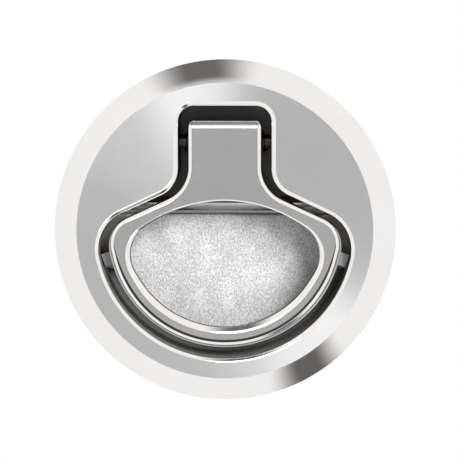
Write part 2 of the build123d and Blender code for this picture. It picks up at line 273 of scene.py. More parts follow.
def ring_at(loop: np.ndarray, depth: Any) -> np.ndarray:
    """Puts an outline at a depth, or at one depth for each of its points.

    Args:
        loop: Points as rows of x and z.
        depth: One y, or a y for each point.

    Returns:
        Points as rows of x, y and z.
    """
    return np.column_stack((loop[:, 0], np.broadcast_to(depth, len(loop)), loop[:, 1]))


def mesh_object(name: str, points: np.ndarray, faces: Sequence[Sequence[int]]) -> bpy.types.Object:
    """Makes an object from points in millimetres.

    Args:
        name: Name of the object.
        points: Points as rows of x, y and z.
        faces: Point numbers of each face.

    Returns:
        The new object, at the origin.
    """
    mesh = bpy.data.meshes.new(name)
    mesh.from_pydata((np.asarray(points) * METRES).tolist(), [], [list(face) for face in faces])
    made = bpy.data.objects.new(name, mesh)
    bpy.context.scene.collection.objects.link(made)
    return made


def loft(
    name: str, rings: Sequence[np.ndarray], closed: bool = False, skins: Sequence[int] = ()
) -> bpy.types.Object:
    """Joins rings of the same count of points with quads.

    Args:
        name: Name of the object.
        rings: Rings from first to last, each a loop.
        closed: True joins the last ring to the first, and False puts a cap on both ends.
        skins: Material number of the quads after each ring, or nothing for all 0.

    Returns:
        The new object with a closed surface whose faces point outwards.
    """
    count = len(rings[0])
    faces = []
    for step in range(len(rings) if closed else len(rings) - 1):
        near, far = step * count, (step + 1) % len(rings) * count
        for i in range(count):
            j = (i + 1) % count
            faces.append((near + i, near + j, far + j, far + i))
    if not closed:
        faces.append(tuple(range(count))[::-1])
        faces.append(tuple((len(rings) - 1) * count + i for i in range(count)))
    made = mesh_object(name, np.vstack(rings), faces)
    if skins:
        made.data.polygons.foreach_set("material_index", np.repeat(skins, count))
    tidy(made)
    return made


def turned_rings(profile: Sequence[Sequence[float]], count: int) -> list:
    """Turns the points of a profile about the Y axis.

    Args:
        profile: Rows of radius and y.
        count: Steps round the axis.

    Returns:
        One ring of points for each row.
    """
    angles = np.linspace(0, 2 * pi, count, endpoint=False)
    circle = np.column_stack((np.cos(angles), np.sin(angles)))
    return [ring_at(circle * radius, y) for radius, y in profile]


def lathe(name: str, profile: Sequence[Sequence[float]]) -> bpy.types.Object:
    """Turns a closed profile about the Y axis.

    Args:
        name: Name of the object.
        profile: Rows of radius and y, away from the axis.

    Returns:
        The new closed ring.
    """
    return loft(name, turned_rings(profile, RING_STEPS), closed=True)


def prism(name: str, loop: np.ndarray, front: float, back: float) -> bpy.types.Object:
    """Makes a block with an outline in x and z between two depths.

    Args:
        name: Name of the object.
        loop: Outline as rows of x and z.
        front: Its lower y.
        back: Its higher y.

    Returns:
        The new closed block.
    """
    return loft(name, [ring_at(loop, front), ring_at(loop, back)])


def bar(name: str, loop: np.ndarray, half_width: float) -> bpy.types.Object:
    """Makes a bar along X with an outline in y and z.

    Args:
        name: Name of the object.
        loop: Outline as rows of y and z.
        half_width: Half of its length along X.

    Returns:
        The new closed bar.
    """
    ends = [np.column_stack((np.full(len(loop), x), loop)) for x in (-half_width, half_width)]
    return loft(name, ends)


def tidy(made: bpy.types.Object) -> None:
    """Merges doubled points and makes all faces point outwards.

    Args:
        made: Object whose mesh is closed.
    """
    work = bmesh.new()
    work.from_mesh(made.data)
    bmesh.ops.remove_doubles(work, verts=work.verts, dist=SAME_POINT)
    bmesh.ops.dissolve_degenerate(work, edges=work.edges, dist=SAME_POINT)
    bmesh.ops.recalc_face_normals(work, faces=work.faces)
    work.to_mesh(made.data)
    work.free()


class Carve(Enum):
    """Ways to combine two closed solids."""

    CUT = "DIFFERENCE"
    ADD = "UNION"


def carve(target: bpy.types.Object, tool: bpy.types.Object, how: Carve) -> None:
    """Combines a closed tool with a closed target and removes the tool.

    Args:
        target: Object that is changed.
        tool: Object that cuts or joins it.
        how: Which way they combine.
    """
    change = target.modifiers.new("carve", "BOOLEAN")
    change.operation = how.value
    change.solver = "EXACT"
    change.object = tool
    settle(target)
    drop(tool)


def settle(made: bpy.types.Object) -> None:
    """Turns the evaluated object into its plain mesh and removes its modifiers.

    Args:
        made: Object with modifiers.
    """
    bpy.context.view_layer.update()
    seen = made.evaluated_get(bpy.context.evaluated_depsgraph_get())
    mesh = bpy.data.meshes.new_from_object(seen)
    made.modifiers.clear()
    old = made.data
    made.data = mesh
    mesh.name = made.name
    if old.users == 0:
        bpy.data.meshes.remove(old)


def drop(made: bpy.types.Object) -> None:
    """Removes an object and its mesh.

    Args:
        made: Object to remove.
    """
    mesh = made.data
    bpy.data.objects.remove(made)
    if mesh is not None and mesh.users == 0:
        bpy.data.meshes.remove(mesh)


def crown(count: int, low: float = radians(12), high: float = radians(55)) -> list:
    """Gives the profile of a crowned edge that leans from a low to a high angle.

    Args:
        count: Number of steps.
        low: Angle between the flat front and the edge's first stretch.
        high: Angle of its last stretch.

    Returns:
        Rows of the share of the width that is passed and the depth for a width of 1.
    """
    run = sin(high) - sin(low)
    angles = np.linspace(low, high, count + 1)
    return [((sin(a) - sin(low)) / run, (cos(low) - cos(a)) / run) for a in angles]


def smooth(made: bpy.types.Object, angle: float = SHARP_ANGLE) -> None:
    """Shades an object smooth, with edges above an angle kept sharp.

    Args:
        made: Object to shade.
        angle: Angle between faces above which an edge is sharp, in radians.
    """
    made.data.shade_smooth()
    made.data.set_sharp_from_angle(angle=angle)


def rounded(corner: Sequence[float], radius: float, start: float, end: float, count: int = 6) -> list:
    """Gives the profile points of a rounded edge.

    Args:
        corner: Centre of the rounding.
        radius: Its radius.
        start: First angle in degrees.
        end: Last angle in degrees.
        count: Number of steps.

    Returns:
        Points as tuples, both ends among them.
    """
    return [tuple(p) for p in arc_points(*corner, radius, radians(start), radians(end), count)]


# Shader nodes


def put(tree: bpy.types.NodeTree, kind: str, inputs: Optional[dict] = None, **settings: Any) -> Any:
    """Adds a node, sets its options, and sets or links its inputs.

    Args:
        tree: Node tree that gets the node.
        kind: Type name of the node.
        inputs: Value or output socket for each named or numbered input.
        **settings: Options of the node.

    Returns:
        The new node.
    """
    node = tree.nodes.new(kind)
    for name, value in settings.items():
        setattr(node, name, value)
    for key, value in (inputs or {}).items():
        if isinstance(value, bpy.types.NodeSocket):
            tree.links.new(value, node.inputs[key])
        else:
            node.inputs[key].default_value = value
    return node


def maths(tree: bpy.types.NodeTree, how: str, *values: Any, clamp: bool = False) -> Any:
    """Adds a Math node and gives its output.

    Args:
        tree: Node tree that gets the node.
        how: Operation of the node.
        *values: Numbers or output sockets.
        clamp: True keeps the result from 0 to 1.

    Returns:
        The output socket.
    """
    inputs = dict(enumerate(values))
    return put(tree, "ShaderNodeMath", inputs, operation=how, use_clamp=clamp).outputs[0]


def ramp(tree: bpy.types.NodeTree, value: Any, low: float, high: float, start: float, end: float) -> Any:
    """Maps a value smoothly from one range to another.

    Args:
        tree: Node tree that gets the node.
        value: Output socket with the value.
        low: Value that gives start.
        high: Value that gives end.
        start: Result at and below low.
        end: Result at and above high.

    Returns:
        The output socket.
    """
    inputs = {"Value": value, "From Min": low, "From Max": high, "To Min": start, "To Max": end}
    return put(tree, "ShaderNodeMapRange", inputs, interpolation_type="SMOOTHSTEP").outputs["Result"]


class Effect:
    """A shader node group that several finishes share."""

    made: dict = {}
    cloud_scale: float = 0.09
    cloud_height: float = 6.0
    speckle_range: tuple = (0.36, 0.66)
    break_scale: float = 900.0
    wear_start: float = 0.25
    wear_gain: float = 9.0

    @classmethod
    def start(cls, name: str, inputs: dict, outputs: Sequence[str]) -> tuple:
        """Makes an empty group with number sockets.

        Args:
            name: Name of the group.
            inputs: Default value of each input.
            outputs: Names of the outputs.

        Returns:
            The group and its input and output nodes.
        """
        group = bpy.data.node_groups.new(name, "ShaderNodeTree")
        for label, value in inputs.items():
            socket = group.interface.new_socket(label, in_out="INPUT", socket_type="NodeSocketFloat")
            socket.default_value = value
        for label in outputs:
            group.interface.new_socket(label, in_out="OUTPUT", socket_type="NodeSocketFloat")
        cls.made[name] = group
        return group, put(group, "NodeGroupInput"), put(group, "NodeGroupOutput")

    @classmethod
    def grain(cls) -> bpy.types.NodeTree:
        """Fine grain of a blasted or moulded surface.

        Returns:
            Group with a height for bump and a speckle from 0 to 1.
        """
        if "grain" in cls.made:
            return cls.made["grain"]
        group, given, out = cls.start(
            "grain", {"Scale": 2500.0, "Unevenness": 0.3, "Stretch": 1.0}, ("Height", "Speckle")
        )
        spot = put(group, "ShaderNodeTexCoord").outputs["Object"]
        squeeze = put(
            group, "ShaderNodeCombineXYZ", {"X": 1.0, "Y": 1.0, "Z": given.outputs["Stretch"]}
        ).outputs[0]
        spot = put(
            group, "ShaderNodeVectorMath", {0: spot, 1: squeeze}, operation="MULTIPLY"
        ).outputs[0]
        fine = put(
            group,
            "ShaderNodeTexNoise",
            {"Vector": spot, "Scale": given.outputs["Scale"], "Detail": 3.0, "Roughness": 0.55},
        ).outputs["Fac"]
        wide = put(
            group,
            "ShaderNodeTexNoise",
            {
                "Vector": spot,
                "Scale": maths(group, "MULTIPLY", given.outputs["Scale"], cls.cloud_scale),
                "Detail": 2.0,
            },
        ).outputs["Fac"]
        height = maths(group, "MULTIPLY", given.outputs["Unevenness"], cls.cloud_height)
        swell = maths(group, "MULTIPLY", wide, height)
        group.links.new(maths(group, "ADD", fine, swell), out.inputs["Height"])
        cloud = maths(group, "MULTIPLY", maths(group, "SUBTRACT", wide, 0.5), given.outputs["Unevenness"])
        fleck = maths(group, "ADD", fine, cloud)
        speckle = ramp(group, fleck, *cls.speckle_range, 0.0, 1.0)
        group.links.new(speckle, out.inputs["Speckle"])
        return group

    @classmethod
    def smudge(cls) -> bpy.types.NodeTree:
        """Uneven polish: soft patches and fine scratches.

        Returns:
            Group with a roughness value round Level.
        """
        if "smudge" in cls.made:
            return cls.made["smudge"]
        group, given, out = cls.start(
            "smudge", {"Level": 0.15, "Spread": 0.05, "Scale": 180.0}, ("Roughness", "Patch")
        )
        spot = put(group, "ShaderNodeTexCoord").outputs["Object"]
        patch = put(
            group,
            "ShaderNodeTexNoise",
            {"Vector": spot, "Scale": given.outputs["Scale"], "Detail": 4.0, "Roughness": 0.6},
        ).outputs["Fac"]
        centred = maths(group, "SUBTRACT", patch, 0.5)
        shift = maths(group, "MULTIPLY", centred, maths(group, "MULTIPLY", given.outputs["Spread"], 2.0))
        group.links.new(
            maths(group, "ADD", given.outputs["Level"], shift, clamp=True), out.inputs["Roughness"]
        )
        group.links.new(patch, out.inputs["Patch"])
        return group

    @classmethod
    def wear(cls) -> bpy.types.NodeTree:
        """Bright or dull rub along edges.

        Returns:
            Group with a mask that is 1 on worn edges.
        """
        if "wear" in cls.made:
            return cls.made["wear"]
        group, given, out = cls.start("wear", {"Width": 0.08, "Break": 0.5}, ("Mask",))
        edge = put(group, "ShaderNodeNewGeometry").outputs["Pointiness"]
        spot = put(group, "ShaderNodeTexCoord").outputs["Object"]
        noise = put(
            group, "ShaderNodeTexNoise", {"Vector": spot, "Scale": cls.break_scale, "Detail": 3.0}
        ).outputs["Fac"]
        width = maths(group, "MULTIPLY", given.outputs["Width"], cls.wear_start)
        start = maths(group, "ADD", 0.5, width)
        worn = maths(group, "MULTIPLY", maths(group, "SUBTRACT", edge, start), cls.wear_gain, clamp=True)
        broken = maths(group, "MULTIPLY", noise, given.outputs["Break"])
        group.links.new(
            maths(group, "SUBTRACT", worn, maths(group, "MULTIPLY", worn, broken), clamp=True),
            out.inputs["Mask"],
        )
        return group


def use(tree: bpy.types.NodeTree, group: bpy.types.NodeTree, **values: Any) -> Any:
    """Places an effect in a material with its own values.

    Args:
        tree: Material's node tree.
        group: The effect.
        **values: Value of each input, with its name in small letters.

    Returns:
        The group node.
    """
    node = put(tree, "ShaderNodeGroup", node_tree=group)
    for name, value in values.items():
        node.inputs[name.capitalize()].default_value = value
    return node


@dataclass(frozen=True)
class Finish:
    """A finish: a base colour, a metal share and a roughness, with detail from its nodes."""

    name: str
    color: tuple
    metallic: float = 1.0
    roughness: float = 0.2
    spread: float = 0.04
    grain_scale: float = 0.0
    grain_depth: float = 0.0
    unevenness: float = 0.0
    speckle: float = 0.0
    stretch: float = 1.0
    edge_color: Optional[tuple] = None
    edge_width: float = 0.08
    edge_break: float = 0.6
    patch_scale: float = 180.0
    patch_shade: float = 0.9

    def material(self) -> bpy.types.Material:
        """Builds the finish's material once.

        Returns:
            The material.
        """
        found = bpy.data.materials.get(self.name)
        if found is not None:
            return found
        made = bpy.data.materials.new(self.name)
        made.use_nodes = True
        tree = made.node_tree
        tree.nodes.clear()
        polish = use(
            tree, Effect.smudge(), level=self.roughness, spread=self.spread, scale=self.patch_scale
        )
        shader = put(
            tree,
            "ShaderNodeBsdfPrincipled",
            {"Metallic": self.metallic, "Roughness": polish.outputs["Roughness"]},
        )
        color = self.colour(tree, polish.outputs["Patch"])
        tree.links.new(color, shader.inputs["Base Color"])
        self.relief(tree, shader)
        out = put(tree, "ShaderNodeOutputMaterial", {"Surface": shader.outputs["BSDF"]})
        out.is_active_output = True
        return made

    def grain(self) -> dict:
        """Values of the grain effect for this finish."""
        return {"scale": self.grain_scale, "unevenness": self.unevenness, "stretch": self.stretch}

    def colour(self, tree: bpy.types.NodeTree, patch: Any) -> Any:
        """Mixes the base colour with its patches, speckle and worn edges.

        Args:
            tree: Material's node tree.
            patch: Output socket with the soft patches.

        Returns:
            The output socket with the colour.
        """
        dark = tuple(self.patch_shade * part for part in self.color)
        mixed = self.mix(tree, patch, (*dark, 1), (*self.color, 1))
        if self.speckle:
            grain = use(tree, Effect.grain(), **self.grain())
            pit = tuple((1 - self.speckle) * part for part in self.color)
            fleck = maths(tree, "SUBTRACT", 1.0, grain.outputs["Speckle"])
            mixed = self.mix(tree, fleck, mixed, (*pit, 1))
        if self.edge_color:
            worn = use(tree, Effect.wear(), width=self.edge_width, **{"break": self.edge_break})
            mixed = self.mix(tree, worn.outputs["Mask"], mixed, (*self.edge_color, 1))
        return mixed

    @staticmethod
    def mix(tree: bpy.types.NodeTree, share: Any, low: Any, high: Any) -> Any:
        """Mixes two colours.

        Args:
            tree: Material's node tree.
            share: Share of the second colour.
            low: First colour, or its socket.
            high: Second colour, or its socket.

        Returns:
            The output socket with the colour.
        """
        node = put(tree, "ShaderNodeMix", {"Factor": share}, data_type="RGBA")
        for key, value in ((6, low), (7, high)):
            if isinstance(value, bpy.types.NodeSocket):
                tree.links.new(value, node.inputs[key])
            else:
                node.inputs[key].default_value = value
        return node.outputs[2]

    def relief(self, tree: bpy.types.NodeTree, shader: Any) -> None:
        """Adds the finish's grain as bump.

        Args:
            tree: Material's node tree.
            shader: The surface shader.
        """
        if not self.grain_depth:
            return
        grain = use(tree, Effect.grain(), **self.grain())
        bump = put(
            tree,
            "ShaderNodeBump",
            {"Height": grain.outputs["Height"], "Distance": self.grain_depth * METRES, "Strength": 1.0},
        )
        tree.links.new(bump.outputs["Normal"], shader.inputs["Normal"])


@dataclass(frozen=True)
class TurnedFinish(Finish):
    """Plated face with the concentric lines of a lathe."""

    line_spacing: float = 0.12
    line_depth: float = 0.0006
    lean: float = 0.09
    streak: float = 0.9

    def relief(self, tree: bpy.types.NodeTree, shader: Any) -> None:
        """Adds fine rings and a slight crown as bump, with the highlight across the rings.

        Args:
            tree: Material's node tree.
            shader: The surface shader.
        """
        spot = put(tree, "ShaderNodeTexCoord").outputs["Object"]
        flat = put(
            tree, "ShaderNodeVectorMath", {0: spot, 1: (1.0, 0.0, 1.0)}, operation="MULTIPLY"
        ).outputs[0]
        radius = put(tree, "ShaderNodeVectorMath", {0: flat}, operation="LENGTH").outputs["Value"]
        lines = put(
            tree,
            "ShaderNodeTexNoise",
            {"W": radius, "Scale": 1 / (self.line_spacing * METRES), "Detail": 3.0, "Roughness": 0.7},
            noise_dimensions="1D",
        ).outputs["Fac"]
        depth = self.line_depth * METRES
        height = maths(tree, "SUBTRACT", lines, maths(tree, "MULTIPLY", radius, self.lean / depth))
        bump = put(tree, "ShaderNodeBump", {"Height": height, "Distance": depth, "Strength": 1.0})
        across = put(tree, "ShaderNodeVectorMath", {0: flat}, operation="NORMALIZE").outputs[0]
        tree.links.new(bump.outputs["Normal"], shader.inputs["Normal"])
        tree.links.new(across, shader.inputs["Tangent"])
        shader.inputs["Anisotropic"].default_value = self.streak


TURNED_CHROME = TurnedFinish("turned_chrome", (0.62, 0.62, 0.625), roughness=0.33, spread=0.03)
POLISHED_CHROME = Finish(
    "polished_chrome", (0.91, 0.895, 0.88), roughness=0.05, spread=0.02, patch_scale=120.0
)
CAST_CHROME = Finish(
    "cast_chrome", (0.42, 0.42, 0.425), roughness=0.24, spread=0.08, grain_scale=1400.0, grain_depth=0.02
)
# Painted shade: near-black chrome for the pit behind the neck and the gaps beside it, standing in for the
# shade down there.
PIT_SHADE_CHROME = Finish(
    "deep_chrome", (0.08, 0.08, 0.082), roughness=0.34, spread=0.1, grain_scale=1400.0, grain_depth=0.02
)
# Painted shade: dark chrome for the moat round the lower ring, standing in for the shade in it; the lamp
# still lights its diffuse share.
MOAT_SHADE_CHROME = Finish(
    "moat_chrome",
    (0.13, 0.13, 0.129),
    metallic=0.3,
    roughness=0.4,
    spread=0.1,
    grain_scale=1400.0,
    grain_depth=0.02,
)
# Painted shade: near black for the floor of the pull's groove and the innermost band of its opening's
# edge, where shadow falls.
GROOVE_SHADE = Finish("groove_shade", (0.015, 0.015, 0.015), metallic=0.0, roughness=0.6)
BLASTED_CHROME = Finish(
    "blasted_chrome",
    (0.33, 0.33, 0.332),
    metallic=0.1,
    roughness=0.55,
    spread=0.08,
    grain_scale=3600.0,
    grain_depth=0.06,
    unevenness=0.3,
    speckle=0.48,
    stretch=0.7,
)
PLATED_BARREL = Finish(
    "plated_barrel", (0.7, 0.7, 0.71), roughness=0.3, spread=0.08, grain_scale=1500.0, grain_depth=0.015
)
SATIN_CHROME = Finish(
    "satin_chrome",
    (0.66, 0.66, 0.665),
    roughness=0.2,
    spread=0.03,
    grain_scale=3000.0,
    grain_depth=0.002,
)
DRAWN_STEEL = Finish(
    "drawn_steel",
    (0.62, 0.62, 0.63),
    roughness=0.28,
    spread=0.1,
    grain_scale=2200.0,
    grain_depth=0.008,
    edge_color=(0.8, 0.8, 0.81),
)
# Very dark steel for the return springs and the hinge pin; on the pin the dark colour is painted shade
# that keeps it black in the gaps beside the neck.
DARK_STEEL_AND_SHADE = Finish(
    "oiled_steel", (0.05, 0.05, 0.051), roughness=0.36, spread=0.1, grain_scale=2200.0, grain_depth=0.008
)
SPRING_WIRE = Finish(
    "spring_wire", (0.55, 0.55, 0.56), roughness=0.25, spread=0.08, grain_scale=2600.0, grain_depth=0.004
)
BLACK_NYLON = Finish(
    "black_nylon",
    (0.032, 0.032, 0.034),
    metallic=0.0,
    roughness=0.42,
    spread=0.08,
    grain_scale=2800.0,
    grain_depth=0.03,
    edge_color=(0.07, 0.07, 0.072),
)
BOLT_NYLON = Finish(
    "bolt_nylon",
    (0.05, 0.05, 0.052),
    metallic=0.0,
    roughness=0.35,
    spread=0.07,
    grain_scale=3200.0,
    grain_depth=0.02,
    edge_color=(0.1, 0.1, 0.1),
)
GASKET_RUBBER = Finish(
    "gasket_rubber",
    (0.022, 0.022, 0.022),
    metallic=0.0,
    roughness=0.7,
    spread=0.1,
    grain_scale=1800.0,
    grain_depth=0.05,
    speckle=0.2,
)
BUMPER_RUBBER = Finish(
    "bumper_rubber",
    (0.68, 0.68, 0.675),
    metallic=0.0,
    roughness=0.55,
    spread=0.15,
    grain_scale=1100.0,
    grain_depth=0.1,
    unevenness=0.2,
    speckle=0.65,
)


def dress(made: bpy.types.Object, finishes: Sequence[Finish]) -> None:
    """Gives an object its materials in order.

    Args:
        made: Object to dress.
        finishes: Its finishes; faces keep their numbers.
    """
    made.data.materials.clear()
    for finish in finishes:
        made.data.materials.append(finish.material())


def copied(node: str, name: str) -> bpy.types.Object:
    """Copies the mesh of a CAD node and joins its faces' shared corners.

    Args:
        node: Name of the node.
        name: Name of the new object.

    Returns:
        The new object, at the origin and unrotated.
    """
    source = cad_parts[node]
    mesh = source.data.copy()
    mesh.name = name
    mesh.transform(source.matrix_world)
    shape = bmesh.new()
    shape.from_mesh(mesh)
    bmesh.ops.remove_doubles(shape, verts=shape.verts, dist=SAME_CAD_POINT)
    shape.to_mesh(mesh)
    shape.free()
    made = bpy.data.objects.new(name, mesh)
    bpy.context.scene.collection.objects.link(made)
    smooth(made, ROUND_ANGLE)
    return made


def place(made: bpy.types.Object, body: str, nodes: Sequence[str] = ()) -> None:
    """Lets a finished piece ride on its body, hides the CAD nodes that it replaces and logs its face
    count.

    Args:
        made: The finished piece.
        body: CAD body that it moves with.
        nodes: CAD nodes that it replaces.
    """
    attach(made, body)
    if nodes:
        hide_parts(*nodes)
    log.info("%s: %d faces on %s", made.name, len(made.data.polygons), body)


# Housing


class Skin(Enum):
    """Stretches of the housing's surface, in the order of its material slots."""

    TURNED = 0
    POLISHED = 1
    CAST = 2
    BLASTED = 3
    BARREL = 4
    # The pit's and the moat's stretches carry painted shade.
    DEEP = 5
    MOAT = 6


@dataclass
class Housing:
    """Flange, barrel and the bell-shaped recess with its floor, ledge, pit and moat."""

    recess: Bell = Bell(
        bowl=22.7, corner=6.95, shoulder=10.43, flare=5.15, neck=8.18, top=22.1, top_corner=2.85
    )
    flange_radius: float = 30.25
    face_radius: float = 26.2
    rim_edge: float = 0.8
    rim_crown: float = 0.2
    lip: tuple = (0.62, 0.85)
    lip_heights: tuple = (0.0, 9.0)
    seam: float = 0.03
    wall_start: float = 0.05
    lip_margin: float = 0.1
    rim_break: float = 0.35
    barrel_root: float = 24.35
    barrel_chamfer: float = 0.5
    cup_radius: float = 22.7
    cup_chamfer: float = 0.3
    cup_step: float = 0.2
    flange_root: float = 0.4
    flange_break: float = 0.15
    core_wall: float = 2.2
    core_overcut: float = 0.5
    face_wall: float = 2.5
    plateau_radius: float = 18.3
    moat_top: float = -7.4
    moat_round: float = 1.2
    moat_band: float = 1.5
    moat_margin: float = 0.2
    pit_edge: float = 2.4
    pit_edge_radius: float = 0.5
    ledge_edge: float = 5.4
    ledge_chamfer: float = 1.1
    slot_half_width: float = 4.4
    slot_bottom: float = 1.35
    slot_top: float = 17.4
    scoop: float = 0.09
    pad: Bell = Bell(
        bowl=19.6, corner=4.4, shoulder=8.0, flare=7.5, neck=5.2, top=19.0, top_corner=1.0
    )
    pad_rise: float = 0.02
    pad_gap: float = 0.02
    same_point: float = 0.01
    pin_hole: float = 1.26
    pin_reach: float = 13.0
    bury: float = 0.4
    overcut: float = 1.0
    slot_overcut: float = 0.2
    beyond: float = 30.0
    floor_shares: tuple = (0.2, 0.5, 0.8, 0.99)
    moat_shares: tuple = (0.98, 0.5)
    rim_steps: int = 16
    face_steps: int = 8
    lip_steps: int = 10
    wall_steps: int = 11
    round_steps: int = 7
    plateau_steps: int = 96
    ledge_steps: int = 12
    core_steps: int = 40
    flat_facing: float = -0.999
    raised_facing: float = -0.1
    back_facing: float = 0.2

    def build(self) -> bpy.types.Object:
        """Builds the casting and dresses it.

        Returns:
            The finished piece.
        """
        body = self.shell()
        carve(body, self.island(), Carve.ADD)
        for side in (-1, 1):
            carve(body, self.core(side), Carve.CUT)
        half = self.slot_half_width
        slot = np.array(
            (
                (-half, self.slot_bottom),
                (half, self.slot_bottom),
                (half, self.slot_top),
                (-half, self.slot_top),
            )
        )
        front = LEVELS.pit_floor - self.slot_overcut
        carve(body, prism("slot", slot, front, LEVELS.floor_back + self.overcut), Carve.CUT)
        hole = arc_points(LEVELS.pivot_y, LEVELS.pivot_z, self.pin_hole, 0, 2 * pi, HOLE_STEPS)[:-1]
        carve(body, bar("pin_hole", hole, self.pin_reach), Carve.CUT)
        self.paint(body)
        smooth(body)
        place(body, "root", ["housing"])
        return body

    def bevel(self) -> list:
        """Profile of the slightly crowned rim, from the flange's edge to the face.

        Returns:
            Rows of radius and y.
        """
        outer = np.array((self.flange_radius, LEVELS.flange_back - self.rim_edge))
        inner = np.array((self.face_radius, LEVELS.face))
        run = inner - outer
        out = np.array((-run[1], run[0])) / hypot(*run)
        out = out if out[0] > 0 else -out
        share = np.linspace(0, 1, self.rim_steps + 1)[:, None]
        points = outer + run * share + out * 4 * self.rim_crown * share * (1 - share)
        return [tuple(point) for point in points]

    def shell(self) -> bpy.types.Object:
        """Barrel, flange, face and the recess down to the moat's floor, as one closed skin.

        Returns:
            The closed shell.
        """
        wall = self.recess.loop()
        outwards = self.recess.grown(1.0).loop() - wall
        lip = np.interp(wall[:, 1], self.lip_heights, self.lip)
        lip_loop = wall + outwards * lip[:, None]
        rays = lip_loop / np.linalg.norm(lip_loop, axis=1)[:, None]
        profile = [(self.cup_radius * share, LEVELS.floor_back) for share in self.floor_shares]
        profile += [
            (self.cup_radius, LEVELS.floor_back),
            (self.cup_radius, LEVELS.floor_back + self.cup_step),
            (self.cup_radius, LEVELS.barrel_end - self.cup_chamfer),
            (self.cup_radius + self.cup_chamfer, LEVELS.barrel_end),
            (self.barrel_root - self.barrel_chamfer, LEVELS.barrel_end),
            (self.barrel_root, LEVELS.barrel_end - self.barrel_chamfer),
            (self.barrel_root, LEVELS.flange_back + self.flange_root),
            (self.barrel_root + self.flange_root, LEVELS.flange_back),
            (self.flange_radius - self.flange_break, LEVELS.flange_back),
            (self.flange_radius, LEVELS.flange_back - self.flange_break),
        ]
        profile += self.bevel()
        profile += [(self.face_radius - self.seam, LEVELS.face)]
        rings = [ring_at(rays * radius, y) for radius, y in profile]
        circle = rays * (self.face_radius - self.seam)
        for share in np.linspace(0, 1, self.face_steps + 1)[1:-1]:
            rings.append(ring_at(circle * (1 - share) + lip_loop * share, LEVELS.face))
        rings.append(ring_at(wall + outwards * (lip + self.seam)[:, None], LEVELS.face))
        for share, deep in crown(self.lip_steps):
            loop = wall + outwards * (lip * (1 - share))[:, None]
            rings.append(ring_at(loop, LEVELS.face + lip * deep))
        below = LEVELS.moat_floor - self.moat_round
        above = LEVELS.face + max(self.lip) + self.wall_start
        for y in np.linspace(above, below, self.wall_steps + 1):
            rings.append(ring_at(wall, y))
        for angle in np.linspace(0, pi / 2, self.round_steps + 1)[1:]:
            loop = self.recess.grown(-self.moat_round * (1 - cos(angle))).loop()
            rings.append(ring_at(loop, below + self.moat_round * sin(angle)))
        inner = self.recess.grown(-self.moat_round).loop()
        for share in self.moat_shares:
            rings.append(ring_at(inner * share, LEVELS.moat_floor))
        return loft("housing_casting", rings)

    def island(self) -> bpy.types.Object:
        """Raised floor inside the recess, with its ledge and its pit.

        Returns:
            The closed block, a little buried in the recess wall.
        """
        outline = self.recess.grown(self.bury).loop()
        upper = outline[outline[:, 1] > self.moat_top]
        upper = upper[np.argsort(np.arctan2(upper[:, 1] - self.moat_top, upper[:, 0]))]
        low = asin(-self.moat_top / self.plateau_radius)
        arc = arc_points(0, 0, self.plateau_radius, -pi + low, -low, self.plateau_steps)
        edge_x = (outline[:, 0][np.abs(outline[:, 1] - self.moat_top) < self.moat_band]).max()
        edge_x += self.moat_margin
        loop = np.vstack(
            (
                arc,
                [(edge_x, self.moat_top)],
                upper,
                [(-edge_x, self.moat_top)],
            )
        )
        block = prism("island", loop, LEVELS.floor, LEVELS.moat_floor + self.overcut)
        step = self.pit_edge_radius
        front = LEVELS.floor - self.overcut
        profile = [(front, self.pit_edge - step - self.overcut), (front, self.beyond)]
        profile += [(LEVELS.pit_floor, self.beyond), (LEVELS.pit_floor, self.ledge_edge)]
        high, low = self.ledge_edge - self.ledge_chamfer, self.pit_edge + step
        profile += [(LEVELS.ledge + self.ledge_chamfer, self.ledge_edge)]
        for share in np.linspace(0, 1, self.ledge_steps + 1):
            y = LEVELS.ledge + 4 * self.scoop * share * (1 - share)
            profile.append((y, high + (low - high) * share))
        profile += [(LEVELS.ledge, self.pit_edge)]
        for angle in np.linspace(0, pi / 2, self.round_steps + 1):
            y = LEVELS.floor + step * (1 - sin(angle))
            profile.append((y, self.pit_edge - step * (1 - cos(angle))))
        carve(block, bar("steps", np.array(profile), self.beyond), Carve.CUT)
        pad = self.pad.loop()
        pad[:, 1] = np.minimum(pad[:, 1], self.pit_edge - step - self.pad_gap)
        apart = np.linalg.norm(np.diff(pad, axis=0), axis=1) > self.same_point
        pad = pad[np.append(True, apart)]
        top = LEVELS.floor - self.pad_rise
        carve(block, prism("pad", pad, top, LEVELS.floor + self.overcut), Carve.ADD)
        return block

    def core(self, side: int) -> bpy.types.Object:
        """Hollow behind the face beside the neck, which keeps the casting's wall even.

        Args:
            side: 1 for the right and -1 for the left.

        Returns:
            The closed block to cut away.
        """
        outline = self.recess.grown(self.core_wall).loop()
        reach = self.cup_radius - self.same_point
        right = outline[(outline[:, 0] > 0) & (np.linalg.norm(outline, axis=1) < reach)]
        start = np.arctan2(right[0][1], right[0][0])
        end = np.arctan2(right[-1][1], right[-1][0])
        arc = arc_points(0, 0, reach, start, end, self.core_steps)
        loop = np.vstack((arc, right[::-1][1:-1])) * (side, 1)
        return prism("core", loop, LEVELS.face + self.face_wall, LEVELS.floor_back + self.core_overcut)

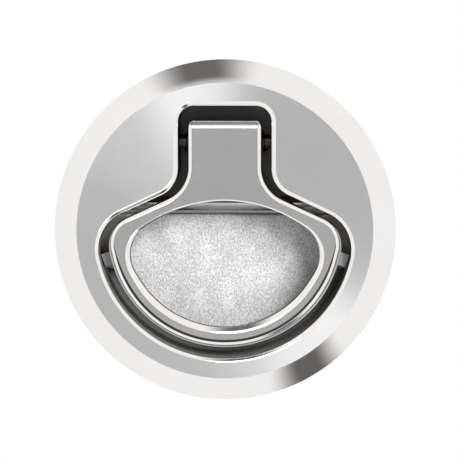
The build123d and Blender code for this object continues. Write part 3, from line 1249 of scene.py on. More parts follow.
    def paint(self, body: bpy.types.Object) -> None:
        """Gives each stretch of the casting its own finish, with painted shade in the pit and the moat.

        Args:
            body: The casting.
        """
        plated = [TURNED_CHROME, POLISHED_CHROME, CAST_CHROME, BLASTED_CHROME]
        dress(body, plated + [PLATED_BARREL, PIT_SHADE_CHROME, MOAT_SHADE_CHROME])
        rim = self.flange_radius - self.rim_break
        for polygon in body.data.polygons:
            x, y, z = (part / METRES for part in polygon.center)
            radius, facing = hypot(x, z), polygon.normal.y
            front, raised = facing < self.flat_facing, facing < self.raised_facing
            rear = facing > self.back_facing and y > LEVELS.flange_back
            if front and abs(y - LEVELS.face) < self.same_point:
                skin = Skin.TURNED
            elif self.cup_radius < radius < rim and y > LEVELS.flange_back - self.wall_start:
                skin = Skin.BARREL
            elif y > LEVELS.floor_back - self.same_point or rear:
                skin = Skin.BARREL
            elif y < LEVELS.face + max(self.lip) + self.lip_margin or radius > self.face_radius:
                skin = Skin.POLISHED
            elif front and abs(y - LEVELS.floor + self.pad_rise) < self.pad_rise / 4:
                skin = Skin.BLASTED
            elif raised and y < LEVELS.floor + self.pit_edge_radius and z > 0:
                skin = Skin.BLASTED
            elif raised and 0 < z < self.ledge_edge and y < LEVELS.pit_floor - self.lip_margin:
                skin = Skin.CAST
            # Painted shade: the moat round the lower ring gets a dark finish for the shade in it.
            elif z < 0:
                skin = Skin.MOAT
            # Painted shade: the pit and the gaps beside the neck get a near-black finish for the shade in
            # them.
            else:
                skin = Skin.DEEP
            polygon.material_index = skin.value


# Ring pull


class PullSkin(Enum):
    """Stretches of the pull's surface, in the order of its material slots."""

    SATIN = 0
    POLISHED = 1
    SHADE = 2


@dataclass
class RingPull:
    """Ring pull with a rolled upper end, a hinge boss and a tail."""

    outline: Bell = Bell(
        bowl=20.95, corner=5.7, shoulder=9.33, flare=6.25, neck=6.53, top=19.65, top_corner=1.5
    )
    opening: RingOpening = RingOpening()
    edge_heights: tuple = (-4.0, 4.0)
    edge_width: tuple = (0.65, 0.7)
    edge_steps: int = 10
    opening_heights: tuple = (-12.0, -3.0, 2.0)
    opening_width: tuple = (1.15, 0.85, 0.3)
    opening_steps: int = 11
    tuck_heights: tuple = (-9.0, 0.0)
    opening_tuck: tuple = (0.4, 0.0)
    shade_depth: float = 0.25
    lip_heights: tuple = (-4.0, 1.0)
    lip_width: float = 0.5
    neck_lip: float = 0.03
    lip_thickness: float = 1.2
    groove_heights: tuple = (-10.0, -6.0, -1.5)
    groove_share: tuple = (1.0, 0.7, 0.0)
    groove_width: float = 0.42
    groove_depth: float = 0.45
    groove_profile: tuple = ((0.0, 0.0), (0.12, 1.0), (0.88, 1.0), (1.0, 0.0))
    seam: float = 0.02
    opening_seam: float = 0.03
    front_insets: tuple = (1.28, 1.38, 1.48, 1.58, 1.68, 1.78)
    break_edge: float = 0.12
    break_share: float = 0.3
    end_roll: float = 1.7
    end_lean: float = radians(55)
    same_face: float = 0.01
    flat_from: float = 0.9995
    boss_radius: float = 3.0
    boss_sink: float = 0.5
    boss_half_width: float = 4.4
    tail_reach: float = 12.4
    tail_tip: float = 1.5
    tail_root: float = 1.7
    tail_half_width: float = 4.0
    bore: float = 1.31
    bore_reach: float = 6.0
    back_steps: int = 6
    break_steps: int = 3
    front_steps: int = 12
    boss_steps: int = 40
    tail_steps: int = 24

    def build(self) -> bpy.types.Object:
        """Builds the pull and dresses it.

        Returns:
            The finished piece.
        """
        pull = self.plate()
        painted = [(polygon.center.copy(), polygon.material_index) for polygon in pull.data.polygons]
        carve(pull, self.boss(), Carve.ADD)
        carve(pull, self.tail(), Carve.ADD)
        hole = arc_points(LEVELS.pivot_y, LEVELS.pivot_z, self.bore, 0, 2 * pi, HOLE_STEPS)[:-1]
        carve(pull, bar("bore", hole, self.bore_reach), Carve.CUT)
        smooth(pull)
        self.paint(pull, painted)
        place(pull, "handle", ["handle"])
        return pull

    def paint(self, pull: bpy.types.Object, painted: Sequence[tuple]) -> None:
        """Gives each face of the carved pull the finish that it had before the carves.

        Args:
            pull: The carved pull.
            painted: Centre and material number of each face before the carves.
        """
        dress(pull, [SATIN_CHROME, POLISHED_CHROME, GROOVE_SHADE])
        near = KDTree(len(painted))
        for index, face in enumerate(painted):
            near.insert(face[0], index)
        near.balance()
        end = self.outline.top - self.neck_lip - self.end_roll
        for polygon in pull.data.polygons:
            _, index, gap = near.find(polygon.center)
            rolled = polygon.center.z > end * METRES and polygon.normal.z > abs(polygon.normal.x)
            kept = gap < self.same_face * METRES and not rolled
            polygon.material_index = painted[index][1] if kept else PullSkin.SATIN.value
        for polygon in pull.data.polygons:
            polygon.use_smooth = abs(polygon.normal.y) < self.flat_from

    def roll(self, z: np.ndarray) -> np.ndarray:
        """Gives the depth of the rolled upper end at some heights.

        Args:
            z: Heights.

        Returns:
            The least depth that the front has there.
        """
        start = self.outline.top - self.neck_lip - self.end_roll
        rise = np.clip(z - start, 0, self.end_roll)
        radius = self.end_roll / sin(self.end_lean)
        return LEVELS.pull_front + radius - np.sqrt(radius**2 - rise**2)

    def front_ring(self, loop: np.ndarray, depth: Any) -> np.ndarray:
        """Puts a loop at a depth, or deeper where the upper end is rolled."""
        return ring_at(loop, np.maximum(depth, self.roll(loop[:, 1])))

    def raised(self, inset: float = 0.0) -> np.ndarray:
        """Samples the outline of the raised front, or one inside it.

        Args:
            inset: Distance inside the raised front's own outline.

        Returns:
            Points as rows of x and z.
        """
        low = self.outline.grown(-self.lip_width - inset).loop()
        high = self.outline.grown(-self.neck_lip - inset).loop()
        share = np.interp(self.outline.loop()[:, 1], self.lip_heights, (0.0, 1.0))[:, None]
        return low * (1 - share) + high * share

    def edge_rings(self) -> list:
        """Rings of the rounded outer edge and of the thin groove inside its lower half.

        Returns:
            Rings from the outside to the flat front.
        """
        front = LEVELS.pull_front
        outside = self.raised()
        inwards = self.raised(1.0) - outside
        z = outside[:, 1]
        radius = np.interp(z, self.edge_heights, self.edge_width)
        rings = []
        for share, deep in crown(self.edge_steps)[::-1]:
            loop = outside + inwards * (radius * (1 - share))[:, None]
            rings.append(self.front_ring(loop, front + radius * deep))
        share = np.interp(z, self.groove_heights, self.groove_share)
        width = self.groove_width * share + self.seam
        for along, deep in self.groove_profile:
            loop = outside + inwards * (radius + self.seam + width * along)[:, None]
            rings.append(self.front_ring(loop, front + self.groove_depth * share * deep))
        return rings

    def opening_rings(self, outer: np.ndarray) -> list:
        """Rings of the opening's rounded edge, which is narrow under the arch.

        Args:
            outer: Outline that the rays to the opening's edge go through.

        Returns:
            Rings from the flat front into the opening.
        """
        edge = self.opening.loop(outer)
        outwards = self.opening.loop(outer, 1.0) - edge
        z = edge[:, 1]
        edge -= outwards * np.interp(z, self.tuck_heights, self.opening_tuck)[:, None]
        width = np.interp(z, self.opening_heights, self.opening_width)
        start = edge + outwards * (width + self.opening_seam)[:, None]
        rings = [ring_at(start, LEVELS.pull_front)]
        for share, deep in crown(self.opening_steps):
            loop = edge + outwards * (width * (1 - share))[:, None]
            rings.append(ring_at(loop, LEVELS.pull_front + width * deep))
        return rings

    def plate(self) -> bpy.types.Object:
        """Ring and neck as one closed skin.

        Returns:
            The closed plate.
        """
        back, small = LEVELS.pull_back, self.break_edge
        outer = self.outline.loop()
        inner = self.opening.loop(outer, small)
        edge = self.outline.grown(-small).loop()
        rings = [ring_at(inner, back)]
        for share in np.linspace(0, 1, self.back_steps + 1)[1:]:
            rings.append(ring_at(inner * (1 - share) + edge * share, back))
        step = back - self.lip_thickness
        quarter = np.linspace(0, pi / 2, self.break_steps + 1)
        for angle in quarter[1:]:
            loop = self.outline.grown(-small * (1 - sin(angle))).loop()
            rings.append(ring_at(loop, back - small * (1 - cos(angle))))
        for angle in quarter:
            loop = self.outline.grown(-small * (1 - cos(angle))).loop()
            rings.append(ring_at(loop, step + small * (1 - sin(angle))))
        satin, polished, shade = (skin.value for skin in PullSkin)
        skins = [satin] * len(rings)
        rings.append(ring_at(self.raised(), step))
        skins.append(polished)
        rings += self.edge_rings()
        # The groove's floor is painted shade.
        groove = [satin] + [shade] * (len(self.groove_profile) - 1) + [satin]
        skins += [polished] * self.edge_steps + groove
        for inset in self.front_insets:
            rings.append(self.front_ring(self.raised(inset), LEVELS.pull_front))
            skins.append(satin)
        mouth = self.opening_rings(outer)
        flat = self.raised(self.front_insets[-1])
        inside = mouth[0][:, (0, 2)]
        for share in np.linspace(0, 1, self.front_steps + 1)[1:-1]:
            rings.append(self.front_ring(flat * (1 - share) + inside * share, LEVELS.pull_front))
            skins.append(satin)
        rings += mouth
        # The innermost band of the opening's edge is painted shade.
        skins += [satin] + [polished] * (len(mouth) - 2) + [shade]
        rings.append(mouth[-1] + (0.0, self.shade_depth, 0.0))
        rings.append(ring_at(self.opening.loop(outer), back - small))
        less = small * self.break_share
        rings.append(ring_at(self.opening.loop(outer, less), back - less))
        skins += [satin] * 3
        return loft("ring_pull", rings, closed=True, skins=skins)

    def boss(self) -> bpy.types.Object:
        """Hinge boss behind the neck.

        Returns:
            The closed block.
        """
        y, z, r = LEVELS.pivot_y, LEVELS.pivot_z, self.boss_radius
        back = LEVELS.pull_back - self.boss_sink
        arc = arc_points(y, z, r, -pi / 2, pi / 2, self.boss_steps)
        loop = np.vstack((arc, [(back, z + r), (back, z - r)]))
        return bar("boss", loop, self.boss_half_width)

    def tail(self) -> bpy.types.Object:
        """Tapered tail that pushes the draw slide.

        Returns:
            The closed block.
        """
        y, z = LEVELS.pivot_y, LEVELS.pivot_z
        lean = asin((self.tail_root - self.tail_tip) / self.tail_reach)
        turn, steps = pi / 2 - lean, self.tail_steps
        tip = arc_points(y + self.tail_reach, z, self.tail_tip, -turn, turn, steps)
        root = arc_points(y, z, self.tail_root, turn, 3 * pi / 2 + lean, steps)
        return bar("tail", np.vstack((tip, root)), self.tail_half_width)


# Geometry node trees


class Grower:
    """Builds geometry node trees and turns their result into plain meshes."""

    @staticmethod
    def start(name: str, inputs: dict) -> tuple:
        """Makes an empty tree with named inputs.

        Args:
            name: Name of the tree.
            inputs: Value of each input: a number, a whole number, or a material.

        Returns:
            The tree and its input and output nodes.
        """
        tree = bpy.data.node_groups.new(name, "GeometryNodeTree")
        tree.interface.new_socket("Geometry", in_out="INPUT", socket_type="NodeSocketGeometry")
        kinds = {int: "NodeSocketInt", float: "NodeSocketFloat", bpy.types.Material: "NodeSocketMaterial"}
        for label, value in inputs.items():
            tree.interface.new_socket(label, in_out="INPUT", socket_type=kinds[type(value)])
        tree.interface.new_socket("Geometry", in_out="OUTPUT", socket_type="NodeSocketGeometry")
        return tree, put(tree, "NodeGroupInput"), put(tree, "NodeGroupOutput")

    @staticmethod
    def finish(tree: bpy.types.NodeTree, shape: Any, material: Any, out: Any) -> None:
        """Ends a tree in Realize Instances and Set Material.

        Args:
            tree: The tree.
            shape: Output socket with the shape.
            material: Output socket with the material.
            out: The tree's output node.
        """
        real = put(tree, "GeometryNodeRealizeInstances", {"Geometry": shape})
        dressed = put(
            tree, "GeometryNodeSetMaterial", {"Geometry": real.outputs[0], "Material": material}
        )
        tree.links.new(dressed.outputs[0], out.inputs[0])

    @staticmethod
    def grow(
        name: str, tree: bpy.types.NodeTree, inputs: dict, base: Optional[bpy.types.Object] = None
    ) -> bpy.types.Object:
        """Runs a tree on an object and keeps the result as its mesh.

        Args:
            name: Name of the object.
            tree: The tree.
            inputs: Value of each named input.
            base: Object that the tree starts from, or none for an empty one.

        Returns:
            The object with its plain mesh.
        """
        made = base or mesh_object(name, np.zeros((0, 3)), [])
        made.name = name
        change = made.modifiers.new("grow", "NODES")
        change.node_group = tree
        for item in tree.interface.items_tree:
            if item.in_out == "INPUT" and item.name in inputs:
                change[item.identifier] = inputs[item.name]
        settle(made)
        return made


def helix_tree(name: str, inputs: dict, sides: int) -> bpy.types.NodeTree:
    """Tree of a wire or a ridge that winds about the Z axis.

    Args:
        name: Name of the tree.
        inputs: Its inputs, with Radius, Length, Turns, Steps, Wire, Lead and Material.
        sides: Corners of the wire's section.

    Returns:
        The tree.
    """
    point = 0.02
    tree, given, out = Grower.start(name, inputs)
    value = given.outputs
    spiral = put(
        tree,
        "GeometryNodeCurveSpiral",
        {
            "Resolution": value["Steps"],
            "Rotations": value["Turns"],
            "Start Radius": value["Radius"],
            "End Radius": value["Radius"],
            "Height": value["Length"],
        },
    )
    along = put(tree, "GeometryNodeSplineParameter").outputs["Factor"]
    ends = maths(tree, "MINIMUM", along, maths(tree, "SUBTRACT", 1.0, along))
    taper = maths(tree, "DIVIDE", ends, value["Lead"], clamp=True)
    width = maths(tree, "MULTIPLY", value["Wire"], maths(tree, "MAXIMUM", taper, point))
    sized = put(tree, "GeometryNodeSetCurveRadius", {"Curve": spiral.outputs[0], "Radius": width})
    section = put(tree, "GeometryNodeCurvePrimitiveCircle", {"Resolution": sides, "Radius": 1.0})
    wire = put(
        tree,
        "GeometryNodeCurveToMesh",
        {
            "Curve": sized.outputs[0],
            "Profile Curve": section.outputs[0],
            "Scale": put(tree, "GeometryNodeInputRadius").outputs[0],
            "Fill Caps": True,
        },
    )
    Grower.finish(tree, wire.outputs[0], value["Material"], out)
    return tree


@dataclass
class BarrelThread:
    """Thread on the barrel for the ring nut."""

    root: float = 24.3
    height: float = 0.42
    pitch: float = 1.5
    start: float = 0.9
    end: float = 18.4
    lift: float = 0.12
    steps: int = 120
    lead: float = 0.04

    def build(self) -> bpy.types.Object:
        """Winds the thread's ridge round the barrel.

        Returns:
            The finished piece.
        """
        inputs = {
            "Radius": (self.root + self.lift) * METRES,
            "Length": (self.end - self.start) * METRES,
            "Turns": (self.end - self.start) / self.pitch,
            "Steps": self.steps,
            "Wire": self.height * METRES,
            "Lead": self.lead,
            "Material": PLATED_BARREL.material(),
        }
        tree = helix_tree("thread_ridge", inputs, 4)
        thread = Grower.grow("barrel_thread", tree, inputs)
        stand(thread, self.start)
        smooth(thread, RIDGE_ANGLE)
        place(thread, "root")
        return thread


def stand(made: bpy.types.Object, depth: float) -> None:
    """Turns a mesh that winds about Z so that it winds about Y, and starts at a depth.

    Args:
        made: Object whose mesh is turned.
        depth: The y of its start, in millimetres.
    """
    for vertex in made.data.vertices:
        x, y, z = vertex.co
        vertex.co = (x, z + depth * METRES, -y)


@dataclass
class BoltSpring:
    """Compression spring that pushes the bolt out, in two lengths: one on the case and one on the draw
    slide.
    """

    radius: float = 3.55
    wire: float = 0.45
    foot: float = -9.95
    middle: float = 1.25
    head: float = 7.54
    gap: float = 0.02
    foot_turns: float = 4.0
    head_turns: float = 3.0
    spring_y: float = 25.0
    draw: float = 9.95
    slam: float = 5.0
    steps: int = 40
    lead: float = 0.002
    sides: int = 12

    def build(self) -> bpy.types.Object:
        """Winds both lengths of the spring.

        Returns:
            The length on the case.
        """
        low = self.coil("bolt_spring_foot", self.foot, self.middle, self.foot_turns)
        place(low, "root", ["bolt_spring"])
        self.shorten(low, "draw_travel", self.foot, self.middle, self.draw)
        bottom = self.middle + self.gap
        high = self.coil("bolt_spring_head", bottom, self.head, self.head_turns)
        place(high, "draw_slide")
        self.shorten(high, "bolt_slam", bottom, self.head, self.slam)
        return low

    def coil(self, name: str, bottom: float, top: float, turns: float) -> bpy.types.Object:
        """Winds one length.

        Args:
            name: Name of the object.
            bottom: Height of its lower end.
            top: Height of its upper end.
            turns: Count of its turns.

        Returns:
            The coil, at its place.
        """
        inputs = {
            "Radius": self.radius * METRES,
            "Length": (top - bottom) * METRES,
            "Turns": turns,
            "Steps": self.steps,
            "Wire": self.wire * METRES,
            "Lead": self.lead,
            "Material": SPRING_WIRE.material(),
        }
        made = Grower.grow(name, helix_tree(name, inputs, self.sides), inputs)
        for vertex in made.data.vertices:
            vertex.co += Vector((0, self.spring_y, bottom)) * METRES
        smooth(made, ROUND_ANGLE)
        return made

    @staticmethod
    def shorten(made: bpy.types.Object, joint: str, bottom: float, top: float, travel: float) -> None:
        """Gives a length of the spring a mesh of its own.

        Args:
            made: The coil.
            joint: Joint of the slide; not used.
            bottom: Height of its lower end; not used.
            top: Height of its upper end; not used.
            travel: Travel of the joint; not used.
        """
        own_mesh(made)


@dataclass
class HandleSpring:
    """Torsion spring on the hinge pin, from its leg on the housing to its leg behind the pull."""

    side: str
    held_x: float = 6.9
    turned_x: float = 4.9

    def build(self) -> bpy.types.Object:
        """Takes the node's shape and gives it its finish.

        Returns:
            The finished piece.
        """
        node = f"handle_spring_{self.side}"
        spring = copied(node, f"return_spring_{self.side}")
        dress(spring, [DARK_STEEL_AND_SHADE])
        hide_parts(node)
        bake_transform(spring)
        log.info("%s: %d faces between root and handle", spring.name, len(spring.data.polygons))
        return spring


@dataclass
class MountingNut:
    """Ring nut with grip lugs that clamps the panel."""

    bore: float = 25.0
    radius: float = 27.1
    front: float = 12.2
    width: float = 6.2
    lugs: int = 12
    lug_height: float = 1.4
    lug_width: float = 5.0
    lug_sink: float = 0.25
    lug_trim: float = 0.1
    lug_margin: float = 0.3
    lug_round: float = 0.6
    chamfer: float = 0.5

    def build(self) -> bpy.types.Object:
        """Turns the ring and sets its lugs.

        Returns:
            The finished piece.
        """
        front, back, cut = self.front, self.front + self.width, self.chamfer
        profile = [
            (self.bore, front + cut),
            (self.bore, back - cut),
            (self.bore + cut, back),
            (self.radius - cut, back),
            (self.radius, back - cut),
            (self.radius, front + cut),
            (self.radius - cut, front),
            (self.bore + cut, front),
        ]
        ring = lathe("ring", profile)
        inputs = {
            "Count": self.lugs,
            "Radius": (self.radius - self.lug_sink) * METRES,
            "Height": (self.lug_height * 2 - self.lug_trim) * METRES,
            "Width": self.lug_width * METRES,
            "Length": (self.width - self.lug_margin * 2) * METRES,
            "Depth": (front + self.lug_margin) * METRES,
            "Round": self.lug_round * METRES,
            "Material": BLACK_NYLON.material(),
        }
        nut = Grower.grow("ring_nut", self.tree(inputs), inputs, ring)
        smooth(nut, MOULDED_ANGLE)
        place(nut, "root", ["mounting_nut"])
        return nut

    @staticmethod
    def tree(inputs: dict) -> bpy.types.NodeTree:
        """Tree that sets rounded lugs round a ring.

        Args:
            inputs: The tree's inputs.

        Returns:
            The tree.
        """
        tree, given, out = Grower.start("grip_lugs", inputs)
        value = given.outputs
        outline = put(
            tree,
            "GeometryNodeCurvePrimitiveQuadrilateral",
            {"Width": value["Height"], "Height": value["Width"]},
        )
        soft = put(
            tree,
            "GeometryNodeFilletCurve",
            {"Curve": outline.outputs[0], "Radius": value["Round"], "Count": 5},
            mode="POLY",
        )
        face = put(tree, "GeometryNodeFillCurve", {"Curve": soft.outputs[0]}, mode="NGONS")
        lug = put(
            tree,
            "GeometryNodeExtrudeMesh",
            {"Mesh": face.outputs[0], "Offset Scale": value["Length"]},
        )
        both = put(tree, "GeometryNodeJoinGeometry")
        back = put(tree, "GeometryNodeFlipFaces", {"Mesh": face.outputs[0]})
        tree.links.new(lug.outputs[0], both.inputs[0])
        tree.links.new(back.outputs[0], both.inputs[0])
        whole = put(tree, "GeometryNodeMergeByDistance", {"Geometry": both.outputs[0]})
        circle = put(
            tree,
            "GeometryNodeMeshCircle",
            {"Vertices": value["Count"], "Radius": value["Radius"]},
        )
        spot = put(tree, "GeometryNodeInputPosition").outputs[0]
        turn = put(
            tree, "FunctionNodeAlignEulerToVector", {"Vector": spot}, axis="X", pivot_axis="Z"
        )
        lugs = put(
            tree,
            "GeometryNodeInstanceOnPoints",
            {"Points": circle.outputs[0], "Instance": whole.outputs[0], "Rotation": turn.outputs[0]},
        )
        lift = put(tree, "ShaderNodeCombineXYZ", {"Y": value["Depth"]})
        stood = put(
            tree,
            "GeometryNodeTransform",
            {
                "Geometry": lugs.outputs[0],
                "Translation": lift.outputs[0],
                "Rotation": (-pi / 2, 0.0, 0.0),
            },
        )
        joined = put(tree, "GeometryNodeJoinGeometry")
        tree.links.new(stood.outputs[0], joined.inputs[0])
        tree.links.new(value["Geometry"], joined.inputs[0])
        Grower.finish(tree, joined.outputs[0], value["Material"], out)
        return tree


@dataclass
class CoverScrews:
    """Pan-head screws with a cross recess, through cover and case into the housing."""

    head_radius: float = 2.3
    head_height: float = 1.7
    head_round: float = 0.75
    head_crown: float = 0.1
    head_flat: float = 0.5
    shank: float = 1.25
    tip: float = 9.45
    tip_chamfer: tuple = (0.3, 0.4)
    axis_gap: float = 0.02
    sides: int = 40
    x: float = 8.6
    levels: tuple = (-10.6, 17.5)
    recess: float = 1.25
    recess_width: float = 0.42
    recess_depth: float = 0.9

    def build(self) -> bpy.types.Object:
        """Makes one screw and sets it at each place.

        Returns:
            The finished piece.
        """
        screw = self.one()
        points = [(side * self.x, 0.0, z) for z in self.levels for side in (-1, 1)]
        spots = mesh_object("spots", np.array(points), [])
        inputs = {"Screw": screw, "Material": DRAWN_STEEL.material()}
        tree = self.tree()
        screws = Grower.grow("cover_screw_set", tree, inputs, spots)
        drop(screw)
        smooth(screws, MOULDED_ANGLE)
        place(screws, "root", [f"cover_screw_{n}" for n in (1, 2, 3, 4)])
        return screws

    def one(self) -> bpy.types.Object:
        """Turns one screw about Y and cuts its cross recess.

        Returns:
            The closed screw at x 0 and z 0.
        """
        base = LEVELS.cover_back
        top = base + self.head_height
        soft, gap = self.head_round, self.axis_gap
        narrow, up = self.tip_chamfer
        profile = [(gap, self.tip), (self.shank - narrow, self.tip), (self.shank, self.tip + up)]
        profile += [(self.shank, base), (self.head_radius, base)]
        profile += rounded((self.head_radius - soft, top - soft - self.head_crown), soft, 0, 90)
        profile += [(self.head_flat, top), (gap, top)]
        screw = loft("screw", turned_rings(profile, self.sides))
        wide, thin = self.recess, self.recess_width / 2
        for a, b in ((wide, thin), (thin, wide)):
            loop = np.array(((-a, -b), (a, -b), (a, b), (-a, b)))
            carve(screw, prism("cross", loop, top - self.recess_depth, top + 1), Carve.CUT)
        return screw

    @staticmethod
    def tree() -> bpy.types.NodeTree:
        """Tree that sets a screw at each point.

        Returns:
            The tree.
        """
        tree = bpy.data.node_groups.new("screw_places", "GeometryNodeTree")
        for label, kind in (
            ("Geometry", "NodeSocketGeometry"),
            ("Screw", "NodeSocketObject"),
            ("Material", "NodeSocketMaterial"),
        ):
            tree.interface.new_socket(label, in_out="INPUT", socket_type=kind)
        tree.interface.new_socket("Geometry", in_out="OUTPUT", socket_type="NodeSocketGeometry")
        given, out = put(tree, "NodeGroupInput"), put(tree, "NodeGroupOutput")
        screw = put(tree, "GeometryNodeObjectInfo", {"Object": given.outputs["Screw"]})
        points = put(tree, "GeometryNodeMeshToPoints", {"Mesh": given.outputs["Geometry"]})
        screws = put(
            tree,
            "GeometryNodeInstanceOnPoints",
            {"Points": points.outputs[0], "Instance": screw.outputs["Geometry"]},
        )
        Grower.finish(tree, screws.outputs[0], given.outputs["Material"], out)
        return tree


@dataclass
class Gasket:
    """Seal under the flange, with a soft bead round its edge."""

    inner: float = 25.3
    outer: float = 29.5
    edge: float = 0.2
    top_gap: float = 0.01
    bead_turn: float = 40.0

    def build(self) -> bpy.types.Object:
        """Turns the seal.

        Returns:
            The finished piece.
        """
        front, edge = LEVELS.flange_back + self.top_gap, self.edge
        profile = [
            (self.inner + edge, front),
            (self.inner, front + edge),
            (self.inner, -edge),
            (self.inner + edge, 0.0),
            (self.outer - edge, 0.0),
            (self.outer, -edge),
        ]
        centre = (self.outer - edge, (front - edge) / 2)
        profile += rounded(centre, edge, self.bead_turn, -self.bead_turn, 4)
        profile += [(self.outer, front + edge), (self.outer - edge, front)]
        seal = lathe("seal_ring", profile)
        dress(seal, [GASKET_RUBBER])
        smooth(seal, ROUND_ANGLE)
        place(seal, "root", ["flange_gasket"])
        return seal


@dataclass(frozen=True)
class PlainPart:
    """A CAD node whose shape is right and which only gets its finish."""

    node: str
    finish: Finish

    def build(self) -> bpy.types.Object:
        """Dresses the node.

        Returns:
            The node's object.
        """
        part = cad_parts[self.node]
        dress(part, [self.finish])
        log.info("%s: %s", self.node, self.finish.name)
        return part


PLAIN_PARTS = (
    # The hinge pin's very dark steel is painted shade in the gaps beside the neck.
    PlainPart("hinge_pin", DARK_STEEL_AND_SHADE),
    PlainPart("pin_clip_left", SPRING_WIRE),
    PlainPart("pin_clip_right", SPRING_WIRE),
    PlainPart("draw_slide", DRAWN_STEEL),
    PlainPart("slam_bolt", BOLT_NYLON),
    PlainPart("bolt_case", BLACK_NYLON),
    PlainPart("rear_cover", DRAWN_STEEL),
    PlainPart("rest_bumper_left", BUMPER_RUBBER),
    PlainPart("rest_bumper_right", BUMPER_RUBBER),
)


# Stage


@dataclass(frozen=True)
class Spread:
    """A bright patch or a dark card of the studio, with its angle and half width in degrees."""

    angle: float
    half: float
    level: float


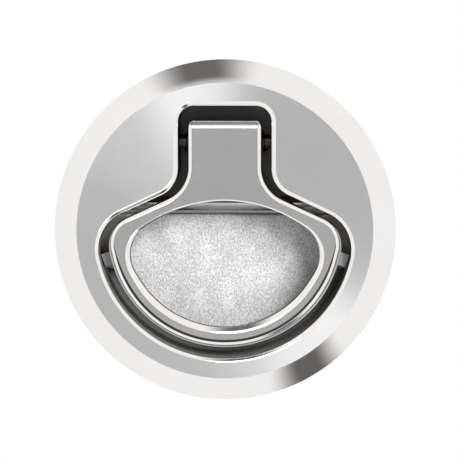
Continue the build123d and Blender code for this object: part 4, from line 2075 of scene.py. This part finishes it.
@dataclass
class Studio:
    """Camera, soft light and a plain pale floor and backdrop."""

    distance: float = 450.0
    azimuth: float = 1.5
    elevation: float = 5.0
    view_width: float = 81.63
    aim: tuple = (0.886, -1.4, 0.0)
    sensor: float = 36.0
    clip: tuple = (0.01, 10.0)
    lamp_size: float = 340.0
    lamp_energy: float = 15.0
    lamp_place: tuple = (330.0, -540.0, 280.0)
    front_level: float = 0.55
    front_edge: tuple = (22.0, 10.0)
    patch_outer: tuple = (36.0, 30.0)
    patch_inner: tuple = (20.0, 14.0)
    patch_core: float = 0.5
    patches: tuple = (Spread(109.0, 26.0, 4.5), Spread(301.0, 25.0, 3.5))
    card_outer: tuple = (96.0, 84.0)
    card_inner: tuple = (48.0, 26.0)
    card_core: float = 0.2
    cards: tuple = (Spread(101.0, 24.0, 0.16), Spread(297.0, 15.0, 0.14))
    floor_z: float = -90.0
    stage_reach: float = 900.0
    stage_shade: float = 0.85

    def build(self) -> None:
        """Sets the camera, the lamps, the world and the stage."""
        scene = bpy.context.scene
        scene.view_settings.view_transform = "Standard"
        self.camera()
        self.lamps()
        self.world()
        self.set_pieces()

    def camera(self) -> None:
        """Puts the camera at the photograph's angle."""
        lens = bpy.data.cameras.new("camera")
        lens.sensor_width = self.sensor
        lens.lens = self.sensor * self.distance / self.view_width
        lens.clip_start, lens.clip_end = self.clip
        camera = bpy.data.objects.new("camera", lens)
        azimuth, elevation = radians(self.azimuth), radians(self.elevation)
        back = Vector(
            (sin(azimuth) * cos(elevation), -cos(azimuth) * cos(elevation), sin(elevation))
        )
        camera.location = (Vector(self.aim) + back * self.distance) * METRES
        camera.rotation_euler = (-back).to_track_quat("-Z", "Y").to_euler()
        bpy.context.scene.collection.objects.link(camera)
        bpy.context.scene.camera = camera

    def lamps(self) -> None:
        """Adds one broad soft lamp from the upper right."""
        lamp = bpy.data.lights.new("softbox", "AREA")
        lamp.shape, lamp.size = "DISK", self.lamp_size * METRES
        lamp.energy = self.lamp_energy
        made = bpy.data.objects.new("softbox", lamp)
        made.visible_glossy = False
        made.location = Vector(self.lamp_place) * METRES
        made.rotation_euler = (-made.location).to_track_quat("-Z", "Y").to_euler()
        bpy.context.scene.collection.objects.link(made)

    def world(self) -> None:
        """Makes a white studio, with a grey front, bright patches and dark cards round the camera."""
        world = bpy.data.worlds.new("studio")
        bpy.context.scene.world = world
        world.use_nodes = True
        tree = world.node_tree
        tree.nodes.clear()
        way = put(tree, "ShaderNodeTexCoord").outputs["Generated"]
        part = put(tree, "ShaderNodeSeparateXYZ", {"Vector": way}).outputs
        front = maths(tree, "MULTIPLY", part["Y"], -1.0)
        level = self.fade(tree, front, self.front_edge, 1.0, self.front_level)
        inside = self.fade(tree, front, self.patch_outer, 0.0, 1.0)
        outside = self.fade(tree, front, self.patch_inner, 1.0, 0.0)
        ring = maths(tree, "MULTIPLY", inside, outside)
        for patch in self.patches:
            glow = self.turned(tree, part, patch, self.patch_core, 0.0)
            level = maths(tree, "ADD", level, maths(tree, "MULTIPLY", glow, ring))
        outer = self.fade(tree, front, self.card_outer, 0.0, 1.0)
        inner = self.fade(tree, front, self.card_inner, 1.0, 0.0)
        strength = maths(tree, "MULTIPLY", outer, inner)
        for card in self.cards:
            shade = self.turned(tree, part, card, self.card_core, 1.0)
            away = maths(tree, "MULTIPLY", maths(tree, "SUBTRACT", 1.0, shade), strength)
            level = maths(tree, "MULTIPLY", level, maths(tree, "SUBTRACT", 1.0, away))
        path = put(tree, "ShaderNodeLightPath").outputs
        shown = put(tree, "ShaderNodeMix", {"Factor": path["Is Camera Ray"]}, data_type="FLOAT")
        tree.links.new(level, shown.inputs[2])
        shown.inputs[3].default_value = 1.0
        light = put(tree, "ShaderNodeBackground", {"Color": (1, 1, 1, 1), "Strength": shown.outputs[0]})
        put(tree, "ShaderNodeOutputWorld", {"Surface": light.outputs[0]})

    @staticmethod
    def fade(tree: bpy.types.NodeTree, front: Any, edge: tuple, start: float, end: float) -> Any:
        """Changes a level between two angles from the way to the camera's side.

        Args:
            tree: World's node tree.
            front: Output socket with the cosine of a direction's angle from -Y.
            edge: Angles at which the change starts and ends, in degrees.
            start: Level at the first angle.
            end: Level at the second angle.

        Returns:
            The output socket with the level.
        """
        low, high = (cos(radians(angle)) for angle in edge)
        return ramp(tree, front, low, high, start, end)

    @staticmethod
    def turned(tree: bpy.types.NodeTree, part: Any, spread: Spread, core: float, rest: float) -> Any:
        """Gives the level of a patch or card for directions turned about the view axis.

        Args:
            tree: World's node tree.
            part: Outputs with the direction's X, Y and Z.
            spread: The patch or card.
            core: Share of its half width that has its full level.
            rest: Level outside it.

        Returns:
            The output socket with the level.
        """
        x, z = cos(radians(spread.angle)), sin(radians(spread.angle))
        along_x = maths(tree, "MULTIPLY", part["X"], x)
        along = maths(tree, "ADD", along_x, maths(tree, "MULTIPLY", part["Z"], z))
        cross_z = maths(tree, "MULTIPLY", part["Z"], x)
        cross = maths(tree, "SUBTRACT", cross_z, maths(tree, "MULTIPLY", part["X"], z))
        turn = maths(tree, "ABSOLUTE", maths(tree, "ARCTAN2", cross, along))
        return ramp(tree, turn, radians(spread.half * core), radians(spread.half), spread.level, rest)

    def set_pieces(self) -> None:
        """Adds the floor and the backdrop, both plain and pale."""
        z, far = self.floor_z, self.stage_reach
        level = np.array(((-far, -far, z), (far, -far, z), (far, far, z), (-far, far, z)))
        upright = np.array(((-far, far, z), (far, far, z), (far, far, far), (-far, far, far)))
        floor = mesh_object("floor", level, [(0, 1, 2, 3)])
        drop_cloth = mesh_object("backdrop", upright, [(0, 1, 2, 3)])
        made = bpy.data.materials.new("pale_stage")
        made.use_nodes = True
        tree = made.node_tree
        tree.nodes.clear()
        path = put(tree, "ShaderNodeLightPath").outputs
        seen = maths(tree, "MAXIMUM", path["Is Camera Ray"], path["Is Glossy Ray"])
        shade = self.stage_shade
        pale = put(tree, "ShaderNodeBsdfDiffuse", {"Color": (shade, shade, shade, 1)})
        white = put(tree, "ShaderNodeEmission", {"Color": (1, 1, 1, 1), "Strength": 1.0})
        mixed = put(
            tree, "ShaderNodeMixShader", {0: seen, 1: pale.outputs[0], 2: white.outputs[0]}
        )
        put(tree, "ShaderNodeOutputMaterial", {"Surface": mixed.outputs[0]})
        for piece in (floor, drop_cloth):
            piece.data.materials.append(made)
            piece.visible_glossy = False


def main() -> None:
    """Builds the latch piece by piece, then the studio."""
    logging.basicConfig(level=logging.INFO, format="%(name)s: %(message)s")
    parts = (
        Housing(),
        BarrelThread(),
        RingPull(),
        HandleSpring("left"),
        HandleSpring("right"),
        BoltSpring(),
        MountingNut(),
        CoverScrews(),
        Gasket(),
        *PLAIN_PARTS,
    )
    for part in parts:
        part.build()
    Studio().build()


if __name__ == "__main__":
    main()
